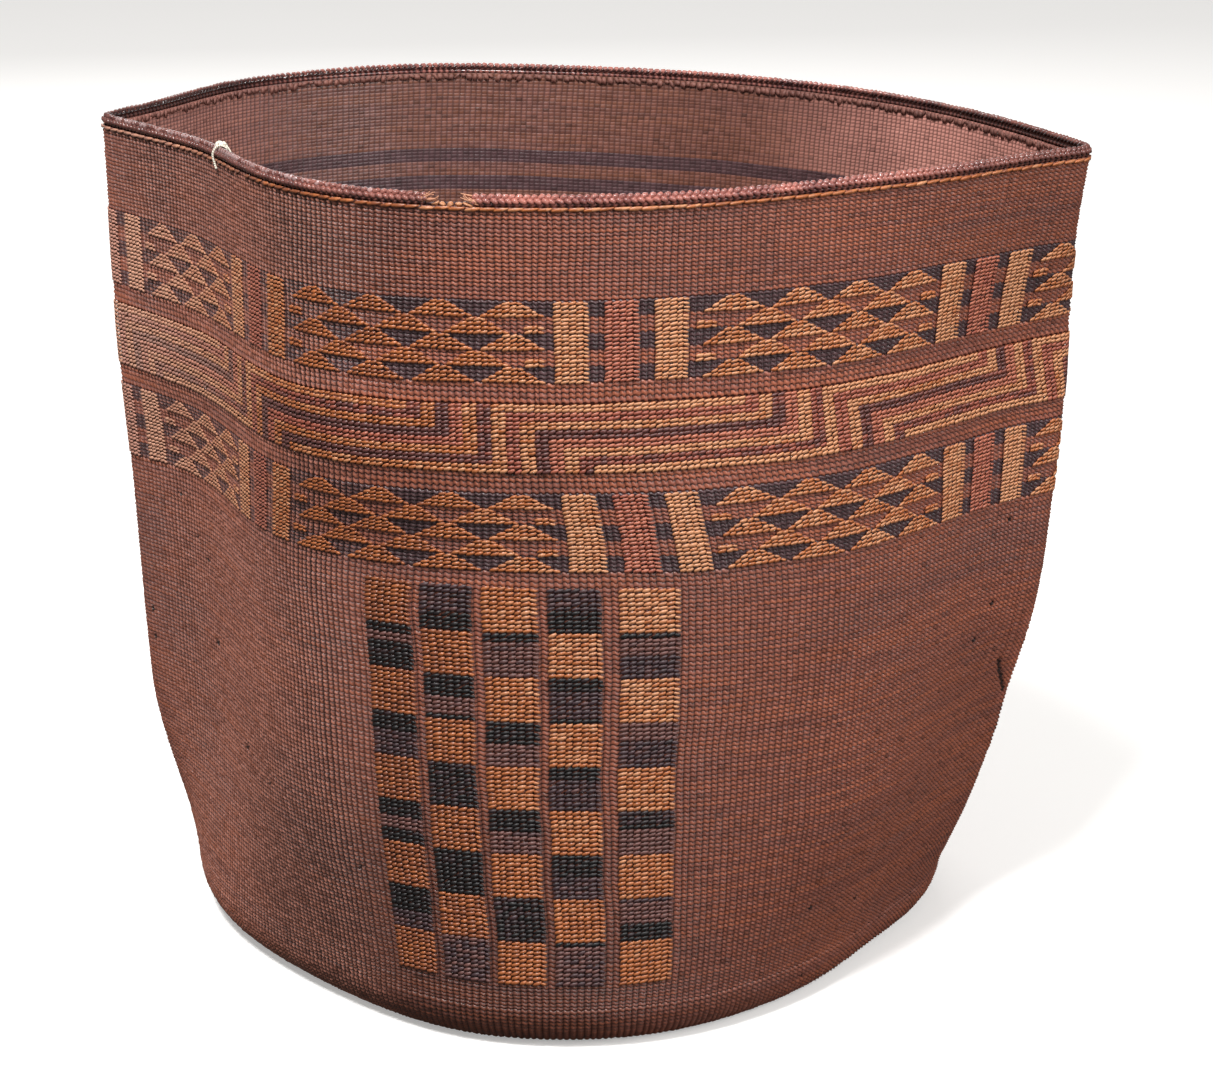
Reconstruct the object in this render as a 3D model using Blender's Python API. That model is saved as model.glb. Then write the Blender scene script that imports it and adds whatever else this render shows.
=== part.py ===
"""Twined spruce root basket: warps, weft courses, rim and false embroidery as separate solids.

The wall is a loft between plan outlines. The left fold corner starts each outline, and the stitch
columns are counted from the first light bar of the middle bar group, towards the right.
"""
import math
import bmesh
import bpy
import numpy as np

MM = 0.001

# Plan sizes, across (X) and front to back (Y). The wall draws in from the rim to the meander and on
# to the belly, and the base is set by itself.
RIM_WIDTH = 312 * MM
RIM_DEPTH = 251 * MM
MEANDER_DRAW_ACROSS = 4 * MM
MEANDER_DRAW_DEEP = 9 * MM
BELLY_DRAW_ACROSS = 4 * MM
BELLY_DRAW_DEEP = 8 * MM
BASE_WIDTH = 258 * MM
BASE_DEPTH = 247 * MM
BASE_ASIDE = -4.5 * MM
BASE_BACK_SHIFT = 2.5 * MM
HEEL_REACH = 14 * MM

# Heights, from the floor up
HEEL_HEIGHT = 15 * MM
LOWER_FIELD_HEIGHT = 138.9 * MM
BAND_HEIGHT = 24.2 * MM
LOWER_PLAIN_HEIGHT = 6.6 * MM
MEANDER_HEIGHT = 20.8 * MM
UPPER_PLAIN_HEIGHT = 6.2 * MM
UPPER_FIELD_HEIGHT = 26.7 * MM
KNEE_HEIGHT = 60 * MM
KNEE_SHARE = 0.82

# Layers through the wall
WARP_THICKNESS = 1.0 * MM
WEFT_THICKNESS = 0.9 * MM
GRASS_THICKNESS = 0.6 * MM
GAP = 0.3 * MM

# Rim
BINDING_WIDTH = 4.0 * MM
BINDING_HEIGHT = 3.4 * MM
BINDING_BREAK = (-17, -11)
GRASS_ROW_HEIGHT = 0.9 * MM
GRASS_ROW_DROP = 0.6 * MM
TURNED_END_HEIGHT = 6.0 * MM
TURNED_END_DROP = 0.8 * MM
TURNED_END_THICKNESS = 1.0 * MM

# Start at the middle of the base, and the thread on the rim
START_SIZE = 26 * MM
START_THICKNESS = 0.9 * MM
THREAD_COLUMN = -66
THREAD_RADIUS = 0.5 * MM
KNOT_RADIUS = 1.2 * MM
THREAD_TAIL = 5.0 * MM
THREAD_TAIL_LEAN = 0.9 * MM

# Stitches
STITCHES = 407
LEFT_FOLD = -104
CREASE = -52
RIGHT_FOLD = 90

# Uneven weave: the front stitches are wider at the belly than above and below it, and the columns
# there drift sideways. Below the meander the columns at the right lean further to the right.
FRONT_COLUMN = -7
FRONT_WIDENING = 0.20
WIDENED_COLUMNS = 40
WIDENING_START = 192 * MM
WIDEST_HEIGHT = 140 * MM
WIDENING_AT_FLOOR = 0.6
DRIFT_RATE = 0.045
DRIFT_HEIGHT = 125 * MM
DRIFT_COLUMNS = 90
RIGHT_DRIFT = 8 * MM
RIGHT_DRIFT_COLUMN = 75
RIGHT_DRIFT_COLUMNS = 38

# Dent low on the right
DENT_COLUMN = 92
DENT_HEIGHT = 68 * MM
DENT_DEPTH = 8 * MM
DENT_COLUMNS = 24
DENT_REACH = 36 * MM

# Plan shapes in half widths and half depths, from the left fold along the front to the right fold
# and back along the rear
RIM_FRONT = [(-1.0, 0.12), (-0.89, -0.05), (-0.75, -0.28), (-0.64, -0.555), (-0.49, -0.82),
             (-0.28, -0.965), (-0.03, -1.0), (0.23, -0.945), (0.49, -0.785), (0.73, -0.6),
             (0.87, -0.465), (1.0, -0.36)]
RIM_BACK = [(1.0, -0.36), (0.78, 0.25), (0.38, 0.76), (-0.12, 0.98), (-0.35, 1.0), (-0.57, 0.9),
            (-0.78, 0.67), (-0.9, 0.35), (-1.0, 0.12)]
MEANDER_FRONT = [(-1.0, 0.10), (-0.92, -0.02), (-0.8, -0.22), (-0.7, -0.45), (-0.61, -0.68),
                 (-0.5, -0.85), (-0.37, -0.94), (-0.2, -0.985), (-0.03, -1.0), (0.23, -0.945),
                 (0.46, -0.835), (0.59, -0.72), (0.73, -0.55), (0.88, -0.375), (1.0, -0.27)]
MEANDER_BACK = [(1.0, -0.27), (0.77, 0.27), (0.36, 0.77), (-0.13, 0.98), (-0.36, 1.0), (-0.58, 0.9),
                (-0.78, 0.67), (-0.9, 0.36), (-1.0, 0.10)]
BELLY_FRONT = [(-1.0, 0.10), (-0.92, 0.01), (-0.82, -0.14), (-0.74, -0.34), (-0.67, -0.55),
               (-0.565, -0.76), (-0.43, -0.885), (-0.2, -0.985), (-0.03, -1.0), (0.23, -0.985),
               (0.4, -0.91), (0.52, -0.83), (0.625, -0.715), (0.75, -0.55), (0.86, -0.41),
               (1.0, -0.28)]
BELLY_BACK = [(1.0, -0.28), (0.77, 0.31), (0.36, 0.79), (-0.13, 0.99), (-0.36, 1.0), (-0.58, 0.91),
              (-0.77, 0.69), (-0.9, 0.38), (-1.0, 0.10)]
BASE_FRONT = [(-1.0, 0.10), (-0.965, -0.12), (-0.875, -0.345), (-0.735, -0.55), (-0.505, -0.79),
              (-0.25, -0.955), (0.0, -1.0), (0.22, -0.965), (0.45, -0.84), (0.68, -0.61),
              (0.81, -0.41), (0.92, -0.24), (0.975, -0.1), (1.0, 0.05)]
BASE_BACK = [(1.0, 0.05), (0.91, 0.42), (0.63, 0.79), (0.1, 1.0), (-0.12, 1.0), (-0.64, 0.79),
             (-0.91, 0.45), (-1.0, 0.10)]
RIM_FOLD_SOFTNESS = 4 * MM
MEANDER_FOLD_SOFTNESS = 3 * MM
BELLY_FOLD_SOFTNESS = 4 * MM
BASE_FOLD_SOFTNESS = 6 * MM

# Mesh fineness
PLAN_SAMPLES = 1024
STATION_STEP = 11
FOLD_STATIONS = (-9, -3, 0, 3, 9)
CREASE_STATIONS = (-5, 0, 5)
HEEL_ANGLES = (90, 72, 48, 24)
HEEL_SKIN_ANGLE = 72
BINDING_SIDES = 8

# Colours: linear red, green and blue
ROOT = (0.19, 0.075, 0.055)
DYED_ROOT = (0.075, 0.04, 0.045)
STRAW = (0.63, 0.36, 0.16)
RED_GRASS = (0.36, 0.12, 0.055)
BLACK_GRASS = (0.03, 0.02, 0.025)
RIM_ROOT = (0.13, 0.055, 0.06)
THREAD = (0.75, 0.72, 0.62)

# Plan sizes that follow from the rim's
MEANDER_WIDTH = RIM_WIDTH - MEANDER_DRAW_ACROSS
MEANDER_DEPTH = RIM_DEPTH - MEANDER_DRAW_DEEP
BELLY_WIDTH = MEANDER_WIDTH - BELLY_DRAW_ACROSS
BELLY_DEPTH = MEANDER_DEPTH - BELLY_DRAW_DEEP
BASE_SHIFT = (BASE_ASIDE, BASE_BACK_SHIFT)
BASE_RADIUS = (BASE_WIDTH + BASE_DEPTH) / 4

# Levels of the wall, stacked from the heel
BAND_BOTTOM = HEEL_HEIGHT + LOWER_FIELD_HEIGHT
BAND_TOP = BAND_BOTTOM + BAND_HEIGHT
MEANDER_BOTTOM = BAND_TOP + LOWER_PLAIN_HEIGHT
MEANDER_TOP = MEANDER_BOTTOM + MEANDER_HEIGHT
UPPER_BAND_BOTTOM = MEANDER_TOP + UPPER_PLAIN_HEIGHT
UPPER_BAND_TOP = UPPER_BAND_BOTTOM + BAND_HEIGHT
WALL_TOP = UPPER_BAND_TOP + UPPER_FIELD_HEIGHT


def clear_scene():
    """Remove every object that the file starts with."""
    for item in list(bpy.data.objects):
        bpy.data.objects.remove(item, do_unlink=True)


def smooth_curve(points, samples):
    """Natural cubic curve through points, set out by the distance between them."""
    spots = np.array(points, float)
    steps = np.linalg.norm(np.diff(spots, axis=0), axis=1)
    knots = np.concatenate([[0.0], np.cumsum(steps)])
    count = len(knots)
    matrix = np.eye(count)
    bends = np.zeros((count, 2))
    for i in range(1, count - 1):
        before, after = steps[i - 1], steps[i]
        matrix[i, i - 1:i + 2] = (before, 2 * (before + after), after)
        bends[i] = 6 * ((spots[i + 1] - spots[i]) / after - (spots[i] - spots[i - 1]) / before)
    curvature = np.linalg.solve(matrix, bends)
    along = np.linspace(0.0, knots[-1], samples)
    k = np.clip(np.searchsorted(knots, along, side="right") - 1, 0, count - 2)
    left = (knots[k + 1] - along)[:, None]
    right = (along - knots[k])[:, None]
    span = steps[k][:, None]
    cubic = (curvature[k] * left ** 3 + curvature[k + 1] * right ** 3) / (6 * span)
    linear = (spots[k] / span - curvature[k] * span / 6) * left
    linear += (spots[k + 1] / span - curvature[k + 1] * span / 6) * right
    return cubic + linear


def even_spacing(loop):
    """Closed loop resampled to evenly spaced points, with its length."""
    ring = np.vstack([loop, loop[:1]])
    length = np.concatenate([[0.0], np.cumsum(np.linalg.norm(np.diff(ring, axis=0), axis=1))])
    along = np.arange(PLAN_SAMPLES) / PLAN_SAMPLES * length[-1]
    points = np.column_stack([np.interp(along, length, ring[:, axis]) for axis in (0, 1)])
    return points, length[-1]


def folded_outline(front, back, width, depth, fold_softness):
    """Plan outline in metres: two curves that meet at the fold corners, which are then softened."""
    size = np.array((width / 2, depth / 2))
    front_curve = smooth_curve(np.array(front) * size, PLAN_SAMPLES)
    back_curve = smooth_curve(np.array(back) * size, PLAN_SAMPLES)
    loop, length = even_spacing(np.vstack([front_curve[:-1], back_curve[:-1]]))
    waves = np.fft.fftfreq(PLAN_SAMPLES, d=length / PLAN_SAMPLES) * 2 * math.pi
    damping = np.exp(-0.5 * (waves * fold_softness) ** 2)
    columns = [np.fft.ifft(np.fft.fft(loop[:, axis]) * damping).real for axis in (0, 1)]
    return even_spacing(np.column_stack(columns))[0]


def base_outline():
    """Outline of the heel, nearly round, started below the left fold."""
    outline = folded_outline(BASE_FRONT, BASE_BACK, BASE_WIDTH, BASE_DEPTH, BASE_FOLD_SOFTNESS)
    return np.array(BASE_SHIFT) + outline


def outline_levels():
    """Heights and outlines that the wall passes through."""
    base = base_outline()
    belly = folded_outline(BELLY_FRONT, BELLY_BACK, BELLY_WIDTH, BELLY_DEPTH, BELLY_FOLD_SOFTNESS)
    meander = folded_outline(MEANDER_FRONT, MEANDER_BACK, MEANDER_WIDTH, MEANDER_DEPTH,
                             MEANDER_FOLD_SOFTNESS)
    rim = folded_outline(RIM_FRONT, RIM_BACK, RIM_WIDTH, RIM_DEPTH, RIM_FOLD_SOFTNESS)
    knee = base + (belly - base) * KNEE_SHARE
    meander_middle = (MEANDER_BOTTOM + MEANDER_TOP) / 2
    heights = np.array((HEEL_HEIGHT, HEEL_HEIGHT + KNEE_HEIGHT, BAND_BOTTOM, meander_middle, WALL_TOP))
    return heights, np.stack([base, knee, belly, meander, rim])


LEVEL_HEIGHTS, LEVEL_OUTLINES = outline_levels()


def level_slopes():
    """Slopes of the outlines with height that keep the loft free of overshoot."""
    rise = np.diff(LEVEL_HEIGHTS)[:, None, None]
    secant = np.diff(LEVEL_OUTLINES, axis=0) / rise
    slopes = np.zeros_like(LEVEL_OUTLINES)
    slopes[0], slopes[-1] = secant[0], secant[-1]
    lower, upper = secant[:-1], secant[1:]
    same_way = lower * upper > 0
    weight_low = rise[:-1] + 2 * rise[1:]
    weight_high = 2 * rise[:-1] + rise[1:]
    safe_lower = np.where(same_way, lower, 1.0)
    safe_upper = np.where(same_way, upper, 1.0)
    mean = (weight_low + weight_high) / (weight_low / safe_upper + weight_high / safe_lower)
    slopes[1:-1] = np.where(same_way, mean, 0.0)
    return slopes


LEVEL_SLOPES = level_slopes()


def outline_at(height):
    """Evenly spaced outline of the outer weft face at a height above the heel, with its length."""
    k = int(np.clip(np.searchsorted(LEVEL_HEIGHTS, height, side="right") - 1, 0, len(LEVEL_HEIGHTS) - 2))
    rise = LEVEL_HEIGHTS[k + 1] - LEVEL_HEIGHTS[k]
    t = (height - LEVEL_HEIGHTS[k]) / rise
    loop = (2 * t ** 3 - 3 * t ** 2 + 1) * LEVEL_OUTLINES[k]
    loop = loop + (t ** 3 - 2 * t ** 2 + t) * rise * LEVEL_SLOPES[k]
    loop = loop + (3 * t ** 2 - 2 * t ** 3) * LEVEL_OUTLINES[k + 1]
    loop = loop + (t ** 3 - t ** 2) * rise * LEVEL_SLOPES[k + 1]
    along = np.roll(loop, -1, axis=0) - np.roll(loop, 1, axis=0)
    along /= np.linalg.norm(along, axis=1)[:, None]
    outward = np.column_stack([along[:, 1], -along[:, 0]])
    columns = LEFT_FOLD + STITCHES * np.arange(PLAN_SAMPLES) / PLAN_SAMPLES
    beside = ((columns - DENT_COLUMN) / DENT_COLUMNS) ** 2 + ((height - DENT_HEIGHT) / DENT_REACH) ** 2
    return even_spacing(loop - outward * (DENT_DEPTH * np.exp(-beside))[:, None])


def face_points(columns, height):
    """Points of the outer weft face at stitch columns and one height; the heel turns in below."""
    above_heel = max(height, HEEL_HEIGHT)
    loop, length = outline_at(above_heel)
    columns = np.asarray(columns, float)
    share = (columns - LEFT_FOLD) / STITCHES
    from_front = columns - FRONT_COLUMN
    rise = float(np.clip((above_heel - WIDEST_HEIGHT) / (WIDENING_START - WIDEST_HEIGHT), 0, 1))
    fade = 1 - rise * rise * (3 - 2 * rise)
    widened = fade * np.interp(above_heel, (0.0, WIDEST_HEIGHT), (WIDENING_AT_FLOOR, 1.0))
    beside = np.exp(-(from_front / WIDENED_COLUMNS) ** 2)
    share = share + FRONT_WIDENING * widened * from_front * beside / STITCHES
    drift = fade * DRIFT_RATE * (DRIFT_HEIGHT - min(above_heel, WIDEST_HEIGHT))
    share = share + drift / length * np.exp(-(from_front / DRIFT_COLUMNS) ** 2)
    below = float(np.clip((MEANDER_TOP - height) / (MEANDER_TOP - BAND_TOP), 0, 1))
    to_right = np.exp(-((columns - RIGHT_DRIFT_COLUMN) / RIGHT_DRIFT_COLUMNS) ** 2)
    share = share + RIGHT_DRIFT * below * to_right / length
    spot = (share % 1.0) * PLAN_SAMPLES
    index = np.floor(spot).astype(int)
    part = (spot - index)[:, None]
    plan = loop[index % PLAN_SAMPLES] * (1 - part) + loop[(index + 1) % PLAN_SAMPLES] * part
    turned = math.asin(np.clip(1 - height / HEEL_HEIGHT, 0.0, 1.0))
    inward = 1 - HEEL_REACH * (1 - math.cos(turned)) / BASE_RADIUS
    plan = np.array(BASE_SHIFT) + (plan - np.array(BASE_SHIFT)) * inward
    return np.column_stack([plan, np.full(len(plan), height)])


def heel_height(degrees):
    """Height of the heel where it has turned in by an angle."""
    return HEEL_HEIGHT * (1 - math.sin(math.radians(degrees)))


def mesh_stations():
    """Stitch columns of the mesh: even steps, closer at the folds and the crease."""
    close = [LEFT_FOLD + offset for offset in FOLD_STATIONS]
    close += [RIGHT_FOLD + offset for offset in FOLD_STATIONS]
    close += [CREASE + offset for offset in CREASE_STATIONS]
    close = {LEFT_FOLD + (column - LEFT_FOLD) % STITCHES for column in close}
    even = set()
    for column in range(LEFT_FOLD, LEFT_FOLD + STITCHES, STATION_STEP):
        away = min(min(abs(column - near), STITCHES - abs(column - near)) for near in close)
        if away >= STATION_STEP / 2:
            even.add(float(column))
    return np.array(sorted(close | even))


STATIONS = mesh_stations()
BELLY_MIDDLE = (LEVEL_HEIGHTS[1] + BAND_BOTTOM) / 2
LEVELS = [heel_height(angle) for angle in HEEL_ANGLES] + [
    HEEL_HEIGHT, LEVEL_HEIGHTS[1], BELLY_MIDDLE, BAND_BOTTOM, BAND_TOP, MEANDER_BOTTOM, MEANDER_TOP,
    UPPER_BAND_BOTTOM, UPPER_BAND_TOP, WALL_TOP]


def outward_normals(grid):
    """Unit normals of the face grid, pointing away from the basket's inside."""
    across = np.roll(grid, -1, axis=1) - np.roll(grid, 1, axis=1)
    up = np.gradient(grid, axis=0)
    normals = np.cross(across, up)
    normals /= np.linalg.norm(normals, axis=2)[:, :, None]
    normals[0] = (0.0, 0.0, -1.0)
    return normals


FACE_GRID = np.stack([face_points(STATIONS, level) for level in LEVELS])
BOX_CENTRE = (FACE_GRID.min(axis=(0, 1)) + FACE_GRID.max(axis=(0, 1))) / 2 * (1, 1, 0)
FACE_GRID -= BOX_CENTRE
BASE_CENTRE = (BASE_SHIFT[0] - BOX_CENTRE[0], BASE_SHIFT[1] - BOX_CENTRE[1])
FACE_NORMALS = outward_normals(FACE_GRID)


def wall_point(column, height, offset):
    """Point on the faceted wall, offset outwards from the outer weft face. Each quad of the grid
    is two triangles, parted by its diagonal from lower left to upper right."""
    turn = LEFT_FOLD + (column - LEFT_FOLD) % STITCHES
    left = int(np.searchsorted(STATIONS, turn, side="right")) - 1
    right = (left + 1) % len(STATIONS)
    width = (STATIONS[right] - STATIONS[left]) % STITCHES
    across = (turn - STATIONS[left]) / width
    row = int(np.clip(np.searchsorted(LEVELS, height, side="right") - 1, 0, len(LEVELS) - 2))
    up = (height - LEVELS[row]) / (LEVELS[row + 1] - LEVELS[row])
    corners = [(row, left), (row, right), (row + 1, left), (row + 1, right)]
    low_left, low_right, high_left, high_right = (
        FACE_GRID[corner] + FACE_NORMALS[corner] * offset for corner in corners)
    if up <= across:
        return low_left + (low_right - low_left) * across + (high_right - low_right) * up
    return low_left + (high_left - low_left) * up + (high_right - high_left) * across


def flat_sheet(first, last, bottom, top):
    """Triangulated sheet in the plane of columns and heights, cut to a rectangle."""
    turns = range(-1, 3)
    columns = sorted(column + turn * STITCHES for turn in turns for column in STATIONS)
    below = [column for column in columns if column <= first][-1:]
    above = [column for column in columns if column >= last][:1]
    columns = below + [column for column in columns if first < column < last] + above
    work = bmesh.new()
    grid = [[work.verts.new((column, height / MM, 0.0)) for column in columns] for height in LEVELS]
    for lower, upper in zip(grid, grid[1:]):
        for i in range(len(columns) - 1):
            work.faces.new((lower[i], lower[i + 1], upper[i + 1]))
            work.faces.new((lower[i], upper[i + 1], upper[i]))
    cuts = (((first, 0, 0), (-1, 0, 0)), ((last, 0, 0), (1, 0, 0)),
            ((0, bottom / MM, 0), (0, -1, 0)), ((0, top / MM, 0), (0, 1, 0)))
    for spot, away in cuts:
        parts = work.verts[:] + work.edges[:] + work.faces[:]
        bmesh.ops.bisect_plane(work, geom=parts, dist=1e-5, plane_co=spot, plane_no=away, clear_outer=True)
    return work


def add_sheet(name, columns, heights, inner, outer, colour, roughness=0.7):
    """Closed sheet over part of the wall, between two offsets from the outer weft face. A sheet
    that goes all round is joined to itself."""
    work = flat_sheet(*columns, *heights)
    places = {vert: (vert.co.x, vert.co.y * MM) for vert in work.verts}
    copied = bmesh.ops.duplicate(work, geom=work.verts[:] + work.edges[:] + work.faces[:])
    twins = {vert: copied["vert_map"][vert] for vert in places}
    inside = [part for part in copied["geom"] if isinstance(part, bmesh.types.BMFace)]
    for vert, (column, height) in places.items():
        vert.co = wall_point(column, height, outer)
        twins[vert].co = wall_point(column, height, inner)
    all_round = columns[1] - columns[0] >= STITCHES
    rims = [edge for edge in work.edges if edge.is_boundary and edge.verts[0] in places]
    for edge in rims:
        start, end = edge.verts
        on_seam = all_round and abs(places[start][0] - places[end][0]) < 1e-4
        if not on_seam:
            work.faces.new((start, end, twins[end], twins[start]))
    bmesh.ops.reverse_faces(work, faces=inside)
    if all_round:
        bmesh.ops.remove_doubles(work, verts=work.verts, dist=1e-6)
    return finish(name, work, colour, roughness)


def material(name, colour, roughness):
    """Plain material with one colour."""
    made = bpy.data.materials.new(name)
    made.use_nodes = True
    shader = made.node_tree.nodes["Principled BSDF"]
    shader.inputs["Base Color"].default_value = (*colour, 1.0)
    shader.inputs["Roughness"].default_value = roughness
    shader.inputs["Metallic"].default_value = 0.0
    return made


def finish(name, work, colour, roughness=0.7, smooth_angle=50):
    """Turn a bmesh into a named object with faces outwards and its own material."""
    bmesh.ops.recalc_face_normals(work, faces=work.faces)
    mesh = bpy.data.meshes.new(name)
    work.to_mesh(mesh)
    work.free()
    mesh.shade_smooth()
    mesh.set_sharp_from_angle(angle=math.radians(smooth_angle))
    mesh.materials.append(material(name, colour, roughness))
    made = bpy.data.objects.new(name, mesh)
    bpy.context.collection.objects.link(made)
    return made


def add_ring(name, bottom, top, inner, outer, colour):
    """One course all round the wall."""
    return add_sheet(name, (LEFT_FOLD, LEFT_FOLD + STITCHES), (bottom, top), inner, outer, colour)


def add_patch(name, columns, heights, colour):
    """One embroidered patch laid over the wefts."""
    return add_sheet(name, columns, heights, GAP, GAP + GRASS_THICKNESS, colour, roughness=0.5)


def build_warps():
    """The warps: a cup that runs over the base and up the wall."""
    work = bmesh.new()
    outer = -WEFT_THICKNESS - GAP
    inner = outer - WARP_THICKNESS
    shells = []
    for offset in (inner, outer):
        spots = FACE_GRID + FACE_NORMALS * offset
        spots[-1, :, 2] = WALL_TOP
        rings = [[work.verts.new(spot) for spot in row] for row in spots]
        centre = work.verts.new((*BASE_CENTRE, -offset))
        shells.append((rings, centre))
    (inside, inside_centre), (outside, outside_centre) = shells
    for i in range(len(STATIONS)):
        j = (i + 1) % len(STATIONS)
        for row in range(len(LEVELS) - 1):
            over = row + 1
            work.faces.new((outside[row][i], outside[row][j], outside[over][j]))
            work.faces.new((outside[row][i], outside[over][j], outside[over][i]))
            work.faces.new((inside[row][i], inside[over][j], inside[row][j]))
            work.faces.new((inside[row][i], inside[over][i], inside[over][j]))
        work.faces.new((outside_centre, outside[0][j], outside[0][i]))
        work.faces.new((inside_centre, inside[0][i], inside[0][j]))
        work.faces.new((outside[-1][i], outside[-1][j], inside[-1][j], inside[-1][i]))
    return finish("warp_foundation", work, ROOT)


def build_base():
    """Base wefts under the warps, and the plaited start inside."""
    work = bmesh.new()
    row = HEEL_ANGLES.index(HEEL_SKIN_ANGLE)
    edge = FACE_GRID[row] + FACE_NORMALS[row] * -WEFT_THICKNESS
    centre = np.array((*BASE_CENTRE, 0.0))
    reach = np.linalg.norm(edge[:, :2] - centre[:2], axis=1)
    disc = centre + (edge - centre) * (1 - GAP / reach)[:, None]
    rings = []
    for height in (0.0, WEFT_THICKNESS):
        rings.append([work.verts.new((x, y, height)) for x, y, _ in disc])
    bottom, top = rings
    work.faces.new(list(reversed(bottom)))
    work.faces.new(top)
    count = len(bottom)
    for i in range(count):
        j = (i + 1) % count
        work.faces.new((bottom[i], bottom[j], top[j], top[i]))
    finish("base_wefts", work, ROOT)

    work = bmesh.new()
    floor = WEFT_THICKNESS + GAP + WARP_THICKNESS + GAP
    bmesh.ops.create_cube(work, size=1.0)
    bmesh.ops.scale(work, vec=(START_SIZE, START_SIZE, START_THICKNESS), verts=work.verts)
    bmesh.ops.translate(work, vec=(*BASE_CENTRE, floor + START_THICKNESS / 2), verts=work.verts)
    finish("base_start", work, ROOT)


def build_courses():
    """The weft courses of the wall, from the heel to the rim."""
    half = GAP / 2
    skin = -WEFT_THICKNESS
    add_ring("heel_wefts", heel_height(HEEL_SKIN_ANGLE), HEEL_HEIGHT - half, skin, 0.0, ROOT)
    add_ring("lower_field_wefts", HEEL_HEIGHT + half, BAND_BOTTOM - half, skin, 0.0, ROOT)
    add_ring("lower_band_wefts", BAND_BOTTOM + half, BAND_TOP - half, skin, 0.0, DYED_ROOT)
    add_ring("lower_plain_course", BAND_TOP + half, MEANDER_BOTTOM - half, skin, 0.0, ROOT)
    add_ring("meander_wefts", MEANDER_BOTTOM + half, MEANDER_TOP - half, skin, 0.0, ROOT)
    add_ring("upper_plain_course", MEANDER_TOP + half, UPPER_BAND_BOTTOM - half, skin, 0.0, ROOT)
    add_ring("upper_band_wefts", UPPER_BAND_BOTTOM + half, UPPER_BAND_TOP - half, skin, 0.0, DYED_ROOT)
    add_ring("upper_field_wefts", UPPER_BAND_TOP + half, WALL_TOP, skin, 0.0, ROOT)


def build_rim():
    """Braided binding on the wall's edge, the grass row below it and the turned warp ends inside."""
    grass_top = WALL_TOP - GRASS_ROW_DROP
    add_ring("rim_grass_row", grass_top - GRASS_ROW_HEIGHT, grass_top, GAP, GAP + GRASS_THICKNESS, STRAW)
    inside = -WEFT_THICKNESS - 2 * GAP - WARP_THICKNESS
    ends_top = WALL_TOP - TURNED_END_DROP
    add_ring("rim_turned_warp_ends", ends_top - TURNED_END_HEIGHT, ends_top,
             inside - TURNED_END_THICKNESS, inside, RIM_ROOT)

    work = bmesh.new()
    middle = -(WEFT_THICKNESS + GAP + WARP_THICKNESS) / 2
    last = BINDING_BREAK[0] + STITCHES
    turns = sorted(column + turn * STITCHES for turn in (0, 1) for column in STATIONS)
    columns = [column for column in turns if BINDING_BREAK[1] < column < last]
    columns = [BINDING_BREAK[1]] + columns + [last]
    rings = []
    for column in columns:
        centre = wall_point(column, WALL_TOP, middle)
        outward = wall_point(column, WALL_TOP, middle + MM) - centre
        outward[2] = 0.0
        outward /= np.linalg.norm(outward)
        centre[2] = WALL_TOP + GAP + BINDING_HEIGHT / 2
        ring = []
        for side in range(BINDING_SIDES):
            angle = 2 * math.pi * (side + 0.5) / BINDING_SIDES
            reach = BINDING_WIDTH / 2 * math.cos(angle) / math.cos(math.pi / BINDING_SIDES)
            lift = BINDING_HEIGHT / 2 * math.sin(angle) / math.cos(math.pi / BINDING_SIDES)
            ring.append(work.verts.new(centre + outward * reach + np.array((0.0, 0.0, lift))))
        rings.append(ring)
    for ring, following in zip(rings, rings[1:]):
        for side in range(BINDING_SIDES):
            over = (side + 1) % BINDING_SIDES
            work.faces.new((ring[side], following[side], following[over], ring[over]))
    work.faces.new(rings[0])
    work.faces.new(list(reversed(rings[-1])))
    finish("rim_binding", work, RIM_ROOT)


def build_thread():
    """White thread tied over the binding, with a knot on top and a tail down the outside."""
    middle = -(WEFT_THICKNESS + GAP + WARP_THICKNESS) / 2
    centre = wall_point(THREAD_COLUMN, WALL_TOP, middle)
    outward = wall_point(THREAD_COLUMN, WALL_TOP, middle + MM) - centre
    outward[2] = 0.0
    outward /= np.linalg.norm(outward)
    centre[2] = WALL_TOP + GAP + BINDING_HEIGHT / 2
    across = BINDING_WIDTH / 2 / math.cos(math.pi / BINDING_SIDES) + GAP + THREAD_RADIUS
    above = BINDING_HEIGHT / 2 / math.cos(math.pi / BINDING_SIDES) + GAP + THREAD_RADIUS
    curve = bpy.data.curves.new("rim_thread", "CURVE")
    curve.dimensions = "3D"
    curve.bevel_depth = THREAD_RADIUS
    curve.bevel_resolution = 1
    curve.use_fill_caps = True
    route = []
    for degrees in range(170, -1, -17):
        angle = math.radians(degrees)
        route.append((across * math.cos(angle), above * math.sin(angle), 1.0))
    knot = KNOT_RADIUS / THREAD_RADIUS
    top = np.argmax([lift for _, lift, _ in route])
    for step, swell in ((-1, 0.5), (0, 1.0), (1, 0.5)):
        reach, lift, _ = route[top + step]
        grown = (knot - 1) * swell * THREAD_RADIUS
        route[top + step] = (reach, lift + grown, 1 + (knot - 1) * swell)
    tail_steps = 3
    for step in range(1, tail_steps + 1):
        part = step / tail_steps
        route.append((across + THREAD_TAIL_LEAN * part, -THREAD_TAIL * part, 1.0))
    spline = curve.splines.new("POLY")
    spline.points.add(len(route) - 1)
    for point, (reach, lift, swell) in zip(spline.points, route):
        spot = centre + outward * reach + np.array((0.0, 0.0, lift))
        point.co = (*spot, 1.0)
        point.radius = swell
    made = bpy.data.objects.new("rim_thread", curve)
    made.data.materials.append(material("rim_thread", THREAD, 0.8))
    bpy.context.collection.objects.link(made)
    return made


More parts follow.
